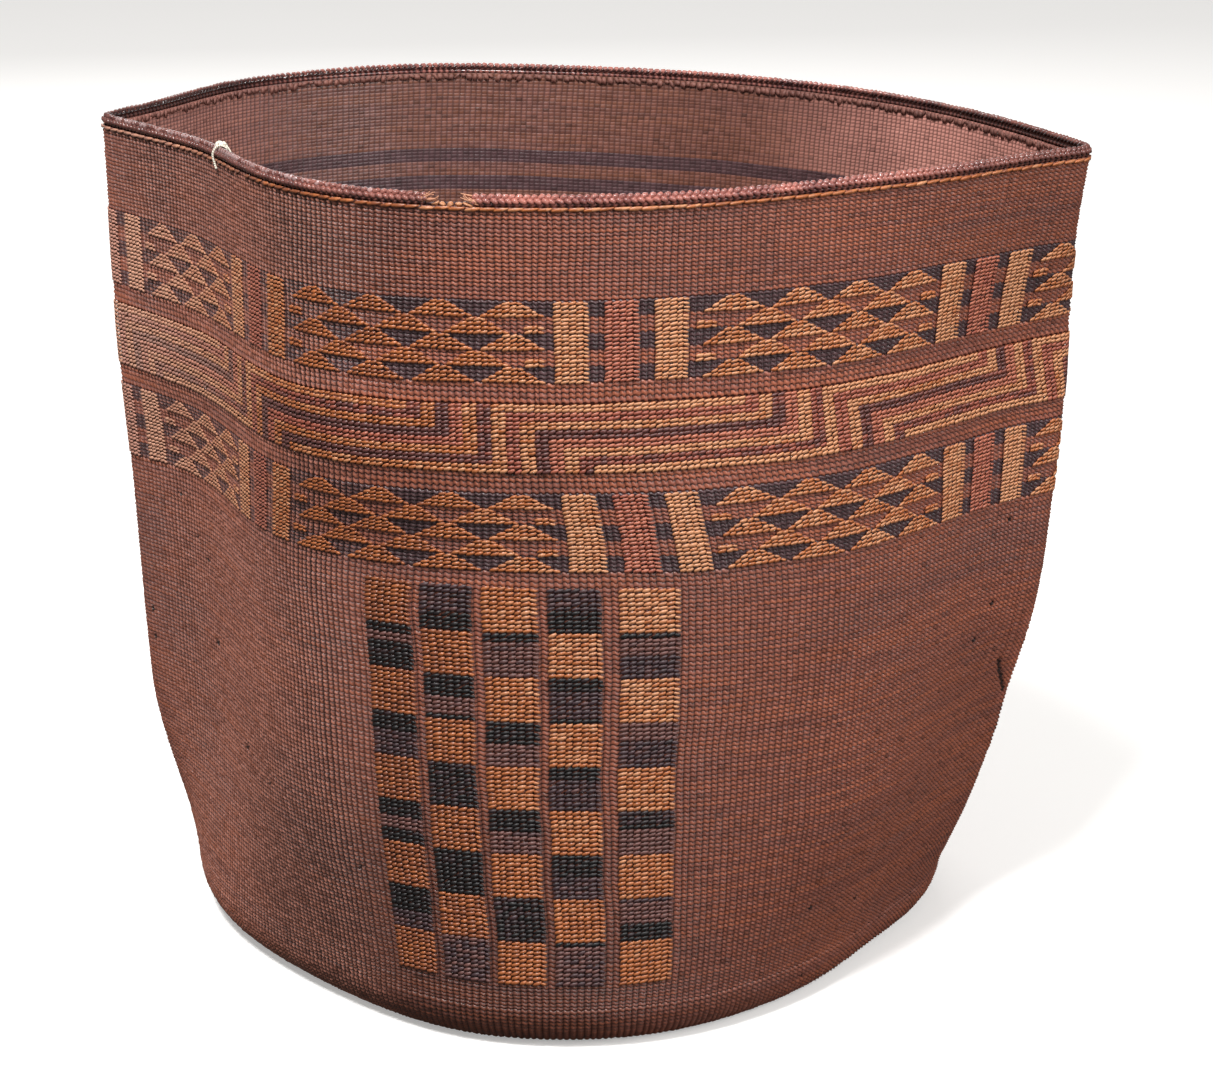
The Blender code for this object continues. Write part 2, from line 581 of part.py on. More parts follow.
# First column of each group of three bars: light, red and light
BAR_GROUPS = (-112, -61, 0, 61, 122, 183, 244)
BAR_GROUP_STITCHES = 19
PANEL_GAP = 1


def build_bands():
    """Embroidery of both bands: groups of bars, and a panel of triangles after each."""
    starts = list(BAR_GROUPS) + [BAR_GROUPS[0] + STITCHES]
    for name, bottom in (("lower", BAND_BOTTOM), ("upper", UPPER_BAND_BOTTOM)):
        levels = (bottom + GAP, bottom + BAND_HEIGHT - GAP)
        for i, (start, following) in enumerate(zip(starts, starts[1:])):
            bars_end = start + BAR_GROUP_STITCHES
            add_patch(f"{name}_band_bars_{i + 1}", (start, bars_end), levels, RED_GRASS)
            panel = (bars_end + PANEL_GAP, following - PANEL_GAP)
            add_patch(f"{name}_band_triangles_{i + 1}", panel, levels, STRAW)


def build_meander():
    """The meander's stepped lines, which lock into one ring."""
    add_ring("meander_embroidery", MEANDER_BOTTOM + GAP, MEANDER_TOP - GAP, GAP, GAP + GRASS_THICKNESS,
             STRAW)


# Columns of checks below the lower band: first stitch and width of each
CHECK_COLUMNS = ((-27, 7), (-19, 7), (-11, 7), (-3, 7), (6, 8))
CHECK_DROP = 4.7 * MM
CHECK_HEIGHT = 126 * MM


def build_checks():
    """Five columns of light and dark squares."""
    top = BAND_BOTTOM - CHECK_DROP
    for i, (first, width) in enumerate(CHECK_COLUMNS):
        add_patch(f"check_column_{i + 1}", (first, first + width), (top - CHECK_HEIGHT, top), BLACK_GRASS)


def main():
    clear_scene()
    build_warps()
    build_base()
    build_courses()
    build_rim()
    build_thread()
    build_bands()
    build_meander()
    build_checks()


main()
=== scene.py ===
"""Twined spruce root basket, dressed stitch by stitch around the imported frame.

Places on the wall are given in stitches and rows. Columns are counted from the first light bar of the
middle group, towards the right, and rows are counted from the floor up.
"""
import math
import bpy
import numpy as np
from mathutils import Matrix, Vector


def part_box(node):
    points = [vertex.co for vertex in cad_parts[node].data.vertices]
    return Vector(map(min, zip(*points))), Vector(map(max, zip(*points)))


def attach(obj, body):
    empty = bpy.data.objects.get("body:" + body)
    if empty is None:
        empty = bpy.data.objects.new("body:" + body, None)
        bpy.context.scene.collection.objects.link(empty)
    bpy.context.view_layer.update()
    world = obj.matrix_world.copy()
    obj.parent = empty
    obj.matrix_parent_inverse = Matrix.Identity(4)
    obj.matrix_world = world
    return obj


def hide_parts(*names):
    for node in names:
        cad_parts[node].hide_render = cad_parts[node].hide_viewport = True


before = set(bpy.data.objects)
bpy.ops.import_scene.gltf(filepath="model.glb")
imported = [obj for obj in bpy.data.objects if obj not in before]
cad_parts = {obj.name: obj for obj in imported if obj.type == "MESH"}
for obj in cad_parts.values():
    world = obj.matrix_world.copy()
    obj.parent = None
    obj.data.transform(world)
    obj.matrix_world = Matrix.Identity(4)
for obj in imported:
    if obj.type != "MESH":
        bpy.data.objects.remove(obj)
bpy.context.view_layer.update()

MM = 0.001
random = np.random.default_rng(11)

# Plan outlines of the wall, as in the frame: size across (X) and front to back (Y) in mm, softness of the
# folds in mm, then the front and the back curve from fold to fold, in shares of half the size
OUTLINES = {
    "rim": ((312, 251), 4,
            ((-1.0, 0.12), (-0.89, -0.05), (-0.75, -0.28), (-0.64, -0.555), (-0.49, -0.82), (-0.28, -0.965),
             (-0.03, -1.0), (0.23, -0.945), (0.49, -0.785), (0.73, -0.6), (0.87, -0.465), (1.0, -0.36)),
            ((1.0, -0.36), (0.78, 0.25), (0.38, 0.76), (-0.12, 0.98), (-0.35, 1.0), (-0.57, 0.9),
             (-0.78, 0.67), (-0.9, 0.35), (-1.0, 0.12))),
    "meander": ((308, 242), 3,
                ((-1.0, 0.10), (-0.92, -0.02), (-0.8, -0.22), (-0.7, -0.45), (-0.61, -0.68), (-0.5, -0.85),
                 (-0.37, -0.94), (-0.2, -0.985), (-0.03, -1.0), (0.23, -0.945), (0.46, -0.835), (0.59, -0.72),
                 (0.73, -0.55), (0.88, -0.375), (1.0, -0.27)),
                ((1.0, -0.27), (0.77, 0.27), (0.36, 0.77), (-0.13, 0.98), (-0.36, 1.0), (-0.58, 0.9),
                 (-0.78, 0.67), (-0.9, 0.36), (-1.0, 0.10))),
    "belly": ((304, 234), 4,
              ((-1.0, 0.10), (-0.92, 0.01), (-0.82, -0.14), (-0.74, -0.34), (-0.67, -0.55), (-0.565, -0.76),
               (-0.43, -0.885), (-0.2, -0.985), (-0.03, -1.0), (0.23, -0.985), (0.4, -0.91), (0.52, -0.83),
               (0.625, -0.715), (0.75, -0.55), (0.86, -0.41), (1.0, -0.28)),
              ((1.0, -0.28), (0.77, 0.31), (0.36, 0.79), (-0.13, 0.99), (-0.36, 1.0), (-0.58, 0.91),
               (-0.77, 0.69), (-0.9, 0.38), (-1.0, 0.10))),
    "base": ((258, 247), 6,
             ((-1.0, 0.10), (-0.965, -0.12), (-0.875, -0.345), (-0.735, -0.55), (-0.505, -0.79),
              (-0.25, -0.955), (0.0, -1.0), (0.22, -0.965), (0.45, -0.84), (0.68, -0.61), (0.81, -0.41),
              (0.92, -0.24), (0.975, -0.1), (1.0, 0.05)),
             ((1.0, 0.05), (0.91, 0.42), (0.63, 0.79), (0.1, 1.0), (-0.12, 1.0), (-0.64, 0.79),
              (-0.91, 0.45), (-1.0, 0.10))),
}
BASE_RADIUS = sum(OUTLINES["base"][0]) / 4 * MM
BASE_SHIFT = np.array((-4.5 * MM, 2.5 * MM))
BASE_CENTRE = np.mean(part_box("base_start"), axis=0)[:2]
BOX_CENTRE = BASE_SHIFT - BASE_CENTRE
HEEL_REACH = 14 * MM
KNEE_HEIGHT = 75 * MM
KNEE_SHARE = 0.82

# Stitches round the wall, and where the columns widen and drift at the front
STITCHES = 407
LEFT_FOLD = -104
FRONT_COLUMN = -7
FRONT_WIDENING = 0.20
WIDENED_COLUMNS = 40
WIDENING_START = 192 * MM
WIDEST_HEIGHT = 140 * MM
WIDENING_AT_FLOOR = 0.6
DRIFT_RATE = 0.045
DRIFT_HEIGHT = 125 * MM
DRIFT_COLUMNS = 90
RIGHT_DRIFT = 8 * MM
RIGHT_DRIFT_COLUMN = 75
RIGHT_DRIFT_COLUMNS = 38
DENT = {"column": 92, "height": 68 * MM, "depth": 8 * MM, "columns": 24, "reach": 36 * MM}
PLAN_SAMPLES = 1024
BAND_ROWS = 20

# Courses from the floor up: name, rows and height
HEEL_ROWS = 16
HEEL_HEIGHT = 15 * MM
COURSES = (("plain_foot", 7, 8.2 * MM), ("checks", 90, 126 * MM), ("plain_top", 3, 4.7 * MM),
           ("lower_band", 20, 24.2 * MM), ("lower_plain", 4, 6.6 * MM), ("meander", 16, 20.8 * MM),
           ("upper_plain", 4, 6.2 * MM), ("upper_band", 20, 24.2 * MM), ("upper_field", 22, 26.7 * MM))

# Layers, outwards from the outer face of the wefts
STITCH_CREST = 0.18 * MM
ROW_GROOVE = -0.36 * MM
COLUMN_GROOVE = -0.24 * MM
STITCH_HOLE = -1.05 * MM
STITCH_LEAN = 0.13
SPECK_DEPTH = 0.6 * MM
SLOW_SWELL = 0.25 * MM
STITCH_UNEVENNESS = 0.07 * MM
RIB_UNEVENNESS = 0.06 * MM
SEAM_GAP = 0.01 * MM
INNER_FACE = -2.2 * MM
RIB_CREST = -0.24 * MM
RIB_GROOVE = 0.24 * MM
WALL_MIDDLE = -1.1 * MM
GRASS_LIFT = 0.28 * MM
GRASS_THICKNESS = 0.33 * MM

# Share of the relief that is left at a course's edges, and at the ends of a strip that stops part-way round
EDGE_RELIEF = 0.7
END_RELIEF = 0.35

# How far rows and columns wander, and over how many rows that fades out at the floor and the rim
ROW_WANDER = 0.16
COLUMN_WANDER = 0.10
CALM_ROWS = 6


def row_levels():
    """Height of each row's lower edge and of the wall's top, and the first row of each course."""
    turns = np.radians(90 * (1 - np.arange(HEEL_ROWS) / HEEL_ROWS))
    levels = list(HEEL_HEIGHT * (1 - np.sin(turns)))
    first_rows = {"heel": 0}
    height = HEEL_HEIGHT
    for name, rows, rise in COURSES:
        first_rows[name] = len(levels)
        levels += [height + rise * row / rows for row in range(rows)]
        height += rise
    first_rows["rim"] = len(levels)
    return np.array(levels + [height]), first_rows


ROW_LEVELS, FIRST_ROW = row_levels()
ROWS = len(ROW_LEVELS) - 1
WALL_TOP = ROW_LEVELS[-1]


def smooth_curve(points, samples):
    """Natural cubic curve through points, set out by the distance between them."""
    spots = np.array(points, float)
    steps = np.linalg.norm(np.diff(spots, axis=0), axis=1)
    knots = np.concatenate([[0.0], np.cumsum(steps)])
    count = len(knots)
    matrix = np.eye(count)
    bends = np.zeros((count, 2))
    for i in range(1, count - 1):
        before, after = steps[i - 1], steps[i]
        matrix[i, i - 1:i + 2] = (before, 2 * (before + after), after)
        bends[i] = 6 * ((spots[i + 1] - spots[i]) / after - (spots[i] - spots[i - 1]) / before)
    curvature = np.linalg.solve(matrix, bends)
    along = np.linspace(0.0, knots[-1], samples)
    k = np.clip(np.searchsorted(knots, along, side="right") - 1, 0, count - 2)
    left = (knots[k + 1] - along)[:, None]
    right = (along - knots[k])[:, None]
    span = steps[k][:, None]
    cubic = (curvature[k] * left ** 3 + curvature[k + 1] * right ** 3) / (6 * span)
    linear = (spots[k] / span - curvature[k] * span / 6) * left
    linear += (spots[k + 1] / span - curvature[k + 1] * span / 6) * right
    return cubic + linear


def even_spacing(loop):
    """Closed loop resampled to evenly spaced points, with its length."""
    ring = np.vstack([loop, loop[:1]])
    length = np.concatenate([[0.0], np.cumsum(np.linalg.norm(np.diff(ring, axis=0), axis=1))])
    along = np.arange(PLAN_SAMPLES) / PLAN_SAMPLES * length[-1]
    points = np.column_stack([np.interp(along, length, ring[:, axis]) for axis in (0, 1)])
    return points, length[-1]


def folded_outline(size, fold_softness, front, back):
    """Plan outline: two curves that meet at the fold corners, which are then softened."""
    half = np.array(size) * MM / 2
    curves = [smooth_curve(np.array(points) * half, PLAN_SAMPLES)[:-1] for points in (front, back)]
    loop, length = even_spacing(np.vstack(curves))
    waves = np.fft.fftfreq(PLAN_SAMPLES, d=length / PLAN_SAMPLES) * 2 * math.pi
    damping = np.exp(-0.5 * (waves * fold_softness * MM) ** 2)
    columns = [np.fft.ifft(np.fft.fft(loop[:, axis]) * damping).real for axis in (0, 1)]
    return even_spacing(np.column_stack(columns))[0]


def outline_levels():
    """Heights, outlines and slopes that the wall passes through."""
    base, belly, meander, rim = (folded_outline(*OUTLINES[name]) for name in ("base", "belly", "meander", "rim"))
    base = BASE_SHIFT + base
    knee = base + (belly - base) * KNEE_SHARE
    middle = (ROW_LEVELS[FIRST_ROW["meander"]] + ROW_LEVELS[FIRST_ROW["upper_plain"]]) / 2
    heights = np.array((HEEL_HEIGHT, KNEE_HEIGHT, ROW_LEVELS[FIRST_ROW["lower_band"]], middle, WALL_TOP))
    loops = np.stack([base, knee, belly, meander, rim])
    rise = np.diff(heights)[:, None, None]
    secant = np.diff(loops, axis=0) / rise
    slopes = np.zeros_like(loops)
    slopes[0], slopes[-1] = secant[0], secant[-1]
    lower, upper = secant[:-1], secant[1:]
    same_way = lower * upper > 0
    low, high = rise[:-1] + 2 * rise[1:], 2 * rise[:-1] + rise[1:]
    safe_lower, safe_upper = np.where(same_way, lower, 1.0), np.where(same_way, upper, 1.0)
    mean = (low + high) / (low / safe_upper + high / safe_lower)
    slopes[1:-1] = np.where(same_way, mean, 0.0)
    return heights, loops, slopes


LEVEL_HEIGHTS, LEVEL_OUTLINES, LEVEL_SLOPES = outline_levels()


def outline_at(height):
    """Evenly spaced outline of the outer weft face at a height above the heel, with its length."""
    k = int(np.clip(np.searchsorted(LEVEL_HEIGHTS, height, side="right") - 1, 0, len(LEVEL_HEIGHTS) - 2))
    rise = LEVEL_HEIGHTS[k + 1] - LEVEL_HEIGHTS[k]
    t = (height - LEVEL_HEIGHTS[k]) / rise
    loop = (2 * t ** 3 - 3 * t ** 2 + 1) * LEVEL_OUTLINES[k]
    loop = loop + (t ** 3 - 2 * t ** 2 + t) * rise * LEVEL_SLOPES[k]
    loop = loop + (3 * t ** 2 - 2 * t ** 3) * LEVEL_OUTLINES[k + 1]
    loop = loop + (t ** 3 - t ** 2) * rise * LEVEL_SLOPES[k + 1]
    along = np.roll(loop, -1, axis=0) - np.roll(loop, 1, axis=0)
    along /= np.linalg.norm(along, axis=1)[:, None]
    outward = np.column_stack([along[:, 1], -along[:, 0]])
    columns = LEFT_FOLD + STITCHES * np.arange(PLAN_SAMPLES) / PLAN_SAMPLES
    beside = ((columns - DENT["column"]) / DENT["columns"]) ** 2
    beside += ((height - DENT["height"]) / DENT["reach"]) ** 2
    return even_spacing(loop - outward * (DENT["depth"] * np.exp(-beside))[:, None])


def face_points(columns, height):
    """Points of the outer weft face at stitch columns and one height; the heel turns in below."""
    above_heel = max(height, HEEL_HEIGHT)
    loop, length = outline_at(above_heel)
    share = (columns - LEFT_FOLD) / STITCHES
    from_front = columns - FRONT_COLUMN
    rise = float(np.clip((above_heel - WIDEST_HEIGHT) / (WIDENING_START - WIDEST_HEIGHT), 0, 1))
    fade = 1 - rise * rise * (3 - 2 * rise)
    widened = fade * np.interp(above_heel, (0.0, WIDEST_HEIGHT), (WIDENING_AT_FLOOR, 1.0))
    beside = np.exp(-(from_front / WIDENED_COLUMNS) ** 2)
    share = share + FRONT_WIDENING * widened * from_front * beside / STITCHES
    drift = fade * DRIFT_RATE * (DRIFT_HEIGHT - min(above_heel, WIDEST_HEIGHT))
    share = share + drift / length * np.exp(-(from_front / DRIFT_COLUMNS) ** 2)
    meander_top, band_top = ROW_LEVELS[FIRST_ROW["upper_plain"]], ROW_LEVELS[FIRST_ROW["lower_plain"]]
    below = float(np.clip((meander_top - height) / (meander_top - band_top), 0, 1))
    to_right = np.exp(-((columns - RIGHT_DRIFT_COLUMN) / RIGHT_DRIFT_COLUMNS) ** 2)
    share = share + RIGHT_DRIFT * below * to_right / length
    spot = (share % 1.0) * PLAN_SAMPLES
    index = np.floor(spot).astype(int)
    part = (spot - index)[:, None]
    plan = loop[index % PLAN_SAMPLES] * (1 - part) + loop[(index + 1) % PLAN_SAMPLES] * part
    turned = math.asin(np.clip(1 - height / HEEL_HEIGHT, 0.0, 1.0))
    inward = 1 - HEEL_REACH * (1 - math.cos(turned)) / BASE_RADIUS
    plan = BASE_SHIFT + (plan - BASE_SHIFT) * inward - BOX_CENTRE
    return np.column_stack([plan, np.full(len(plan), height)])


# The wall's face is worked out once, at half rows and whole columns, and read in between
HALF_LEVELS = np.interp(np.arange(2 * ROWS + 1) / 2, np.arange(ROWS + 1), ROW_LEVELS)
FACE = np.stack([face_points(LEFT_FOLD + np.arange(STITCHES, dtype=float), level) for level in HALF_LEVELS])
# Unit normals of that face, pointing away from the basket's inside
FACE_NORMALS = np.cross(np.roll(FACE, -1, axis=1) - np.roll(FACE, 1, axis=1), np.gradient(FACE, axis=0))
FACE_NORMALS /= np.linalg.norm(FACE_NORMALS, axis=2)[:, :, None]
FACE_NORMALS[0] = (0.0, 0.0, -1.0)


def ring_noise(waves, seed):
    """Slow, seeded unevenness over columns and rows, between about -1 and 1."""
    draws = np.random.default_rng(seed)
    terms = []
    for _ in range(6):
        round_wall = int(draws.integers(1, waves + 1))
        up_wall = draws.uniform(-waves, waves) * ROWS / STITCHES
        terms.append((round_wall, up_wall, draws.uniform(0, 2 * math.pi)))

    def noise(columns, rows):
        total = 0.0
        for round_wall, up_wall, phase in terms:
            total = total + np.sin(2 * math.pi * (round_wall * columns / STITCHES + up_wall * rows / ROWS)
                                   + phase)
        return total / len(terms) * 1.6
    return noise


SLOW_WAVE = ring_noise(9, 3)
ROW_WAVE = ring_noise(26, 5)
COLUMN_WAVE = ring_noise(30, 8)
COLUMN_JITTER = random.normal(0, 0.075, (6, STITCHES))
ROW_JITTER = random.normal(0, 0.05, ROWS + 1)
ROW_JITTER[[0, -1]] = 0.0


def wall_point(columns, rows, offset):
    """Points on the wall at places in stitches and rows, offset outwards from the weft face. Columns
    and rows wander a little, as hand work does."""
    columns, rows = np.broadcast_arrays(np.asarray(columns, float), np.asarray(rows, float))
    whole = np.floor(columns).astype(int)
    bit = columns - whole
    level = np.clip(rows / ROWS, 0, 0.9999) * (len(COLUMN_JITTER) - 1)
    lower = np.floor(level).astype(int)
    share = level - lower
    jitter = 0.0
    for step, weight in ((0, 1 - bit), (1, bit)):
        at = (whole + step) % STITCHES
        jitter = jitter + weight * (COLUMN_JITTER[lower, at] * (1 - share)
                                    + COLUMN_JITTER[lower + 1, at] * share)
    row_step = np.interp(rows, np.arange(ROWS + 1), ROW_JITTER)
    calm = np.clip(np.minimum(rows, ROWS - rows) / CALM_ROWS, 0, 1)
    rows = np.clip(rows + (row_step + ROW_WANDER * ROW_WAVE(columns, rows)) * calm, 0, ROWS)
    columns = columns + jitter + COLUMN_WANDER * COLUMN_WAVE(columns, rows)
    place = (columns - LEFT_FOLD) % STITCHES
    left = np.floor(place).astype(int) % STITCHES
    across = (place - np.floor(place))[..., None]
    right = (left + 1) % STITCHES
    height = rows * 2
    low = np.clip(np.floor(height).astype(int), 0, 2 * ROWS - 1)
    up = (height - low)[..., None]
    total = 0.0
    for row, column, weight in ((low, left, (1 - up) * (1 - across)), (low, right, (1 - up) * across),
                                (low + 1, left, up * (1 - across)), (low + 1, right, up * across)):
        total = total + weight * (FACE[row, column] + FACE_NORMALS[row, column] * np.asarray(offset)[..., None])
    return total


# Meshes

def only(*pieces):
    """Select these pieces and nothing else. The first becomes the active one."""
    bpy.ops.object.select_all(action="DESELECT")
    for piece in pieces:
        piece.select_set(True)
    bpy.context.view_layer.objects.active = pieces[0]


def join(pieces, name):
    """Make one piece of several."""
    only(*pieces)
    bpy.ops.object.join()
    pieces[0].name = pieces[0].data.name = name
    return pieces[0]


def mend(piece, merge=None, turn_out=False):
    """Join points that lie within a distance of each other, or close open ends; turn the faces outwards."""
    only(piece)
    bpy.ops.object.mode_set(mode="EDIT")
    bpy.ops.mesh.select_all(action="SELECT")
    if merge:
        bpy.ops.mesh.remove_doubles(threshold=merge)
    else:
        bpy.ops.mesh.fill_holes(sides=16)
        bpy.ops.mesh.select_all(action="SELECT")
    if turn_out:
        bpy.ops.mesh.normals_make_consistent(inside=False)
    bpy.ops.object.mode_set(mode="OBJECT")


def grid_piece(name, across, up):
    """Flat grid of across by up squares, and its points' places in it: 0 to across and 0 to up."""
    bpy.ops.mesh.primitive_grid_add(x_subdivisions=across, y_subdivisions=up, size=2)
    piece = bpy.context.object
    piece.name = piece.data.name = name
    flat = np.empty(len(piece.data.vertices) * 3)
    piece.data.vertices.foreach_get("co", flat)
    x, y, _ = flat.reshape(-1, 3).T
    return piece, np.rint((x + 1) / 2 * across), np.rint((y + 1) / 2 * up)


def set_points(mesh, spots):
    """Move a mesh's points to these spots."""
    mesh.vertices.foreach_set("co", spots.astype(np.float32).ravel())


def set_values(mesh, name, values):
    """Keep a value for each point, for the finish to read."""
    mesh.attributes.new(name, "FLOAT", "POINT").data.foreach_set("value", values.astype(np.float32))


def corner_values(mesh, values):
    """Values per point, read at each face corner."""
    index = np.empty(len(mesh.loops), int)
    mesh.loops.foreach_get("vertex_index", index)
    return values[index]


def face_means(mesh, values):
    """Values at the face corners, each replaced by the middle of its face."""
    sizes = np.empty(len(mesh.polygons), int)
    mesh.polygons.foreach_get("loop_total", sizes)
    starts = np.empty(len(mesh.polygons), int)
    mesh.polygons.foreach_get("loop_start", starts)
    return np.repeat(np.add.reduceat(values, starts) / sizes, sizes)


def set_uv(mesh, name, u, v):
    """Write a UV map from values at the face corners, and drop maps that the piece was made with."""
    layer = mesh.uv_layers.get(name) or mesh.uv_layers.new(name=name)
    layer.data.foreach_set("uv", np.column_stack([u, v]).astype(np.float32).ravel())
    for layer in [layer for layer in mesh.uv_layers if layer.name not in ("weave", "OFBake")]:
        mesh.uv_layers.remove(layer)


def set_maps(mesh, weave, bake):
    """Write the weave map, in stitches and rows, and the square map for the finish from values per point."""
    for name, places in (("weave", weave), ("OFBake", bake)):
        set_uv(mesh, name, *(corner_values(mesh, values) for values in places))


def folded(along, middle, first, last, folds):
    """A long piece's map is cut into folds: the fold of each face, and the place along that fold."""
    width = (last - first) / folds
    fold = np.clip(np.floor((middle - first) / width), 0, folds - 1)
    return fold, (along - first) / width - fold


def map_strip(mesh, columns, rows, limits, folds):
    """Give a piece its weave map and a square, folded map for its finish."""
    first, last, bottom, top = limits
    columns, rows = corner_values(mesh, columns), corner_values(mesh, rows)
    set_uv(mesh, "weave", columns, rows)
    fold, u = folded(columns, face_means(mesh, columns), first, last, folds)
    set_uv(mesh, "OFBake", 0.01 + 0.98 * u, (fold + 0.03 + 0.94 * (rows - bottom) / (top - bottom)) / folds)


def finish_piece(piece, material, slot, *nodes):
    """Smooth shading, material, body and the frame's nodes that a piece stands for. The slot is not used."""
    mesh = piece.data
    mesh.polygons.foreach_set("use_smooth", np.ones(len(mesh.polygons), bool))
    mesh.materials.clear()
    mesh.materials.append(material)
    mesh.update()
    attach(piece, "root")
    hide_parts(*nodes)
    return piece


# Places across each stitch and up each row: of bare weave, and of weave under embroidery
BARE = (3, 2)
COVERED = (1, 1)

# Dark specks, cracks and slits outside: column, row, half width in stitches and half height in rows
WORN = ((16.5, 169.5, 0.5, 1.1), (1, 131.5, 0.6, 0.5), (10.4, 135, 0.4, 0.9), (76, 92, 0.6, 0.7),
        (73, 84, 0.6, 0.7), (78, 111.5, 0.5, 0.7), (-90, 110, 0.6, 0.7), (-85, 101.5, 0.5, 0.6),
        (-81, 97, 0.6, 0.7), (-78, 78.5, 0.8, 1.0), (-64, 59.5, 0.6, 0.8), (-54, 55.5, 0.5, 0.7),
        (-32, 44.5, 0.5, 0.6), (-45, 17.5, 0.5, 0.6), (39, 32, 0.6, 0.7), (51, 28.5, 0.5, 0.6),
        (40, 12.5, 0.5, 0.6), (-6.5, 139.8, 1.6, 0.4), (-3.2, 139.9, 1.3, 0.35), (4.3, 139.8, 0.9, 0.4),
        (-47.5, 140.2, 1.8, 0.4), (-44, 140.4, 1.2, 0.35), (43, 140.0, 1.5, 0.35), (-101, 78, 0.5, 1.2),
        (-101, 71, 0.5, 1.0), *((81.6 + 0.5 * step, 76.0 - step, 0.42, 1.0) for step in range(10)))


def worn(columns, rows):
    """1 in the middle of each speck or crack and 0 away from them."""
    return np.max([np.exp(-((columns - column) / wide) ** 2 - ((rows - row) / high) ** 2)
                   for column, row, wide, high in WORN], axis=0)


def chained(columns):
    """0 where rows show most, 1 at the left, where the stitches stand in upright chains."""
    left = np.clip((-22 - columns) / 18, 0, 1) * (1 - 0.6 * np.clip((-88 - columns) / 16, 0, 1))
    return np.maximum(left, 0.4 * np.clip((columns - 283) / 20, 0, 1))


def stitch_relief(columns, rows, fineness):
    """Offset and lean of plain twined stitches at grid places."""
    step = np.rint(columns * fineness[0]).astype(int) % fineness[0]
    half = np.rint(rows * fineness[1]).astype(int) % fineness[1]
    chain = chained(columns)
    on_row_line = np.where(step == 0, STITCH_HOLE, ROW_GROOVE * (1 - 0.75 * chain))
    between = np.where(step == 0, COLUMN_GROOVE * (1 + 3.0 * chain), STITCH_CREST)
    return np.where(half == 0, on_row_line, between), STITCH_LEAN * (1.0 * (step == 1) - (step == 2))


def stitch_draws(cells, seed):
    """A seeded normal draw for each stitch, by its number."""
    draws = np.random.default_rng(seed).normal(0, 1, 4096)
    return draws[cells % len(draws)]


def weave_ring(name, bottom, top, material, slot, *nodes, first=LEFT_FOLD, last=LEFT_FOLD + STITCHES, folds=6,
               fineness=BARE):
    """A strip of plain twined wall, from one row to another."""
    piece, x, y = grid_piece(name, (last - first) * fineness[0], (top - bottom) * fineness[1])
    columns, rows = first + x / fineness[0], bottom + y / fineness[1]
    offset, lean = stitch_relief(columns, rows, fineness)
    whole_ring = last - first == STITCHES
    if not whole_ring:
        offset = np.where((columns <= first) | (columns >= last), offset * END_RELIEF, offset)
    edge = (rows <= bottom) | (rows >= top)
    offset = np.where(edge, offset * EDGE_RELIEF, offset)
    cell = np.floor(columns + 0.5).astype(int) * 7919 + np.floor(rows).astype(int)
    wear = worn(columns, rows)
    offset = offset + STITCH_UNEVENNESS * stitch_draws(cell, 21) + SLOW_SWELL * SLOW_WAVE(columns, rows)
    offset = offset - SPECK_DEPTH * wear
    lean = lean * (1 + 0.3 * stitch_draws(cell * 13, 21))
    lean = np.where(edge, np.clip(lean, -STITCH_LEAN, STITCH_LEAN), lean)
    spots = wall_point(columns, rows + lean, offset)
    spots[:, 2] = np.maximum(spots[:, 2], 0.0)
    set_points(piece.data, spots)
    set_values(piece.data, "worn", wear)
    map_strip(piece.data, columns, rows, (first, last, bottom, top), folds)
    if whole_ring:
        mend(piece, merge=SEAM_GAP)
    return finish_piece(piece, material, slot, *nodes)


# Finishes

def maths(operation):
    """A method that feeds a shade, with other shades or numbers, to a maths node."""
    return lambda self, *others: self.math(operation, *others)


class Shade:
    """A shader socket that Python's operators work on."""

    def __init__(self, tree, socket):
        self.tree = tree
        self.socket = socket

    def math(self, operation, *others):
        node = self.tree.nodes.new("ShaderNodeMath")
        node.operation = operation
        for slot, value in zip(node.inputs, (self, *others)):
            connect(self.tree, value, slot)
        return Shade(self.tree, node.outputs[0])

    __add__ = __radd__ = maths("ADD")
    __mul__ = __rmul__ = maths("MULTIPLY")
    __sub__ = maths("SUBTRACT")
    __pow__ = maths("POWER")
    __mod__ = maths("FLOORED_MODULO")
    __lt__ = maths("LESS_THAN")
    __gt__ = maths("GREATER_THAN")
    __abs__ = maths("ABSOLUTE")
    floor = maths("FLOOR")
    fraction = maths("FRACT")
    sine = maths("SINE")
    at_most = maths("MINIMUM")
    at_least = maths("MAXIMUM")

    def __rsub__(self, other):
        return self * -1 + other

    def between(self, low, high):
        """0 below low, 1 above high and a smooth step in between."""
        node = self.tree.nodes.new("ShaderNodeMapRange")
        node.interpolation_type = "SMOOTHSTEP"
        for slot, value in enumerate((self, low, high, 0.0, 1.0)):
            connect(self.tree, value, node.inputs[slot])
        return Shade(self.tree, node.outputs[0])


def connect(tree, value, slot):
    """Link a shade to a socket, or set the socket to a plain value."""
    if isinstance(value, Shade):
        tree.links.new(value.socket, slot)
    elif isinstance(value, tuple) and len(value) == 3 and slot.type == "RGBA":
        slot.default_value = (*value, 1.0)
    else:
        slot.default_value = value


def srgb(*channels):
    """Linear colour from 0 to 255 display values."""
    shares = [channel / 255 for channel in channels]
    return tuple(share / 12.92 if share <= 0.04045 else ((share + 0.055) / 1.055) ** 2.4 for share in shares)


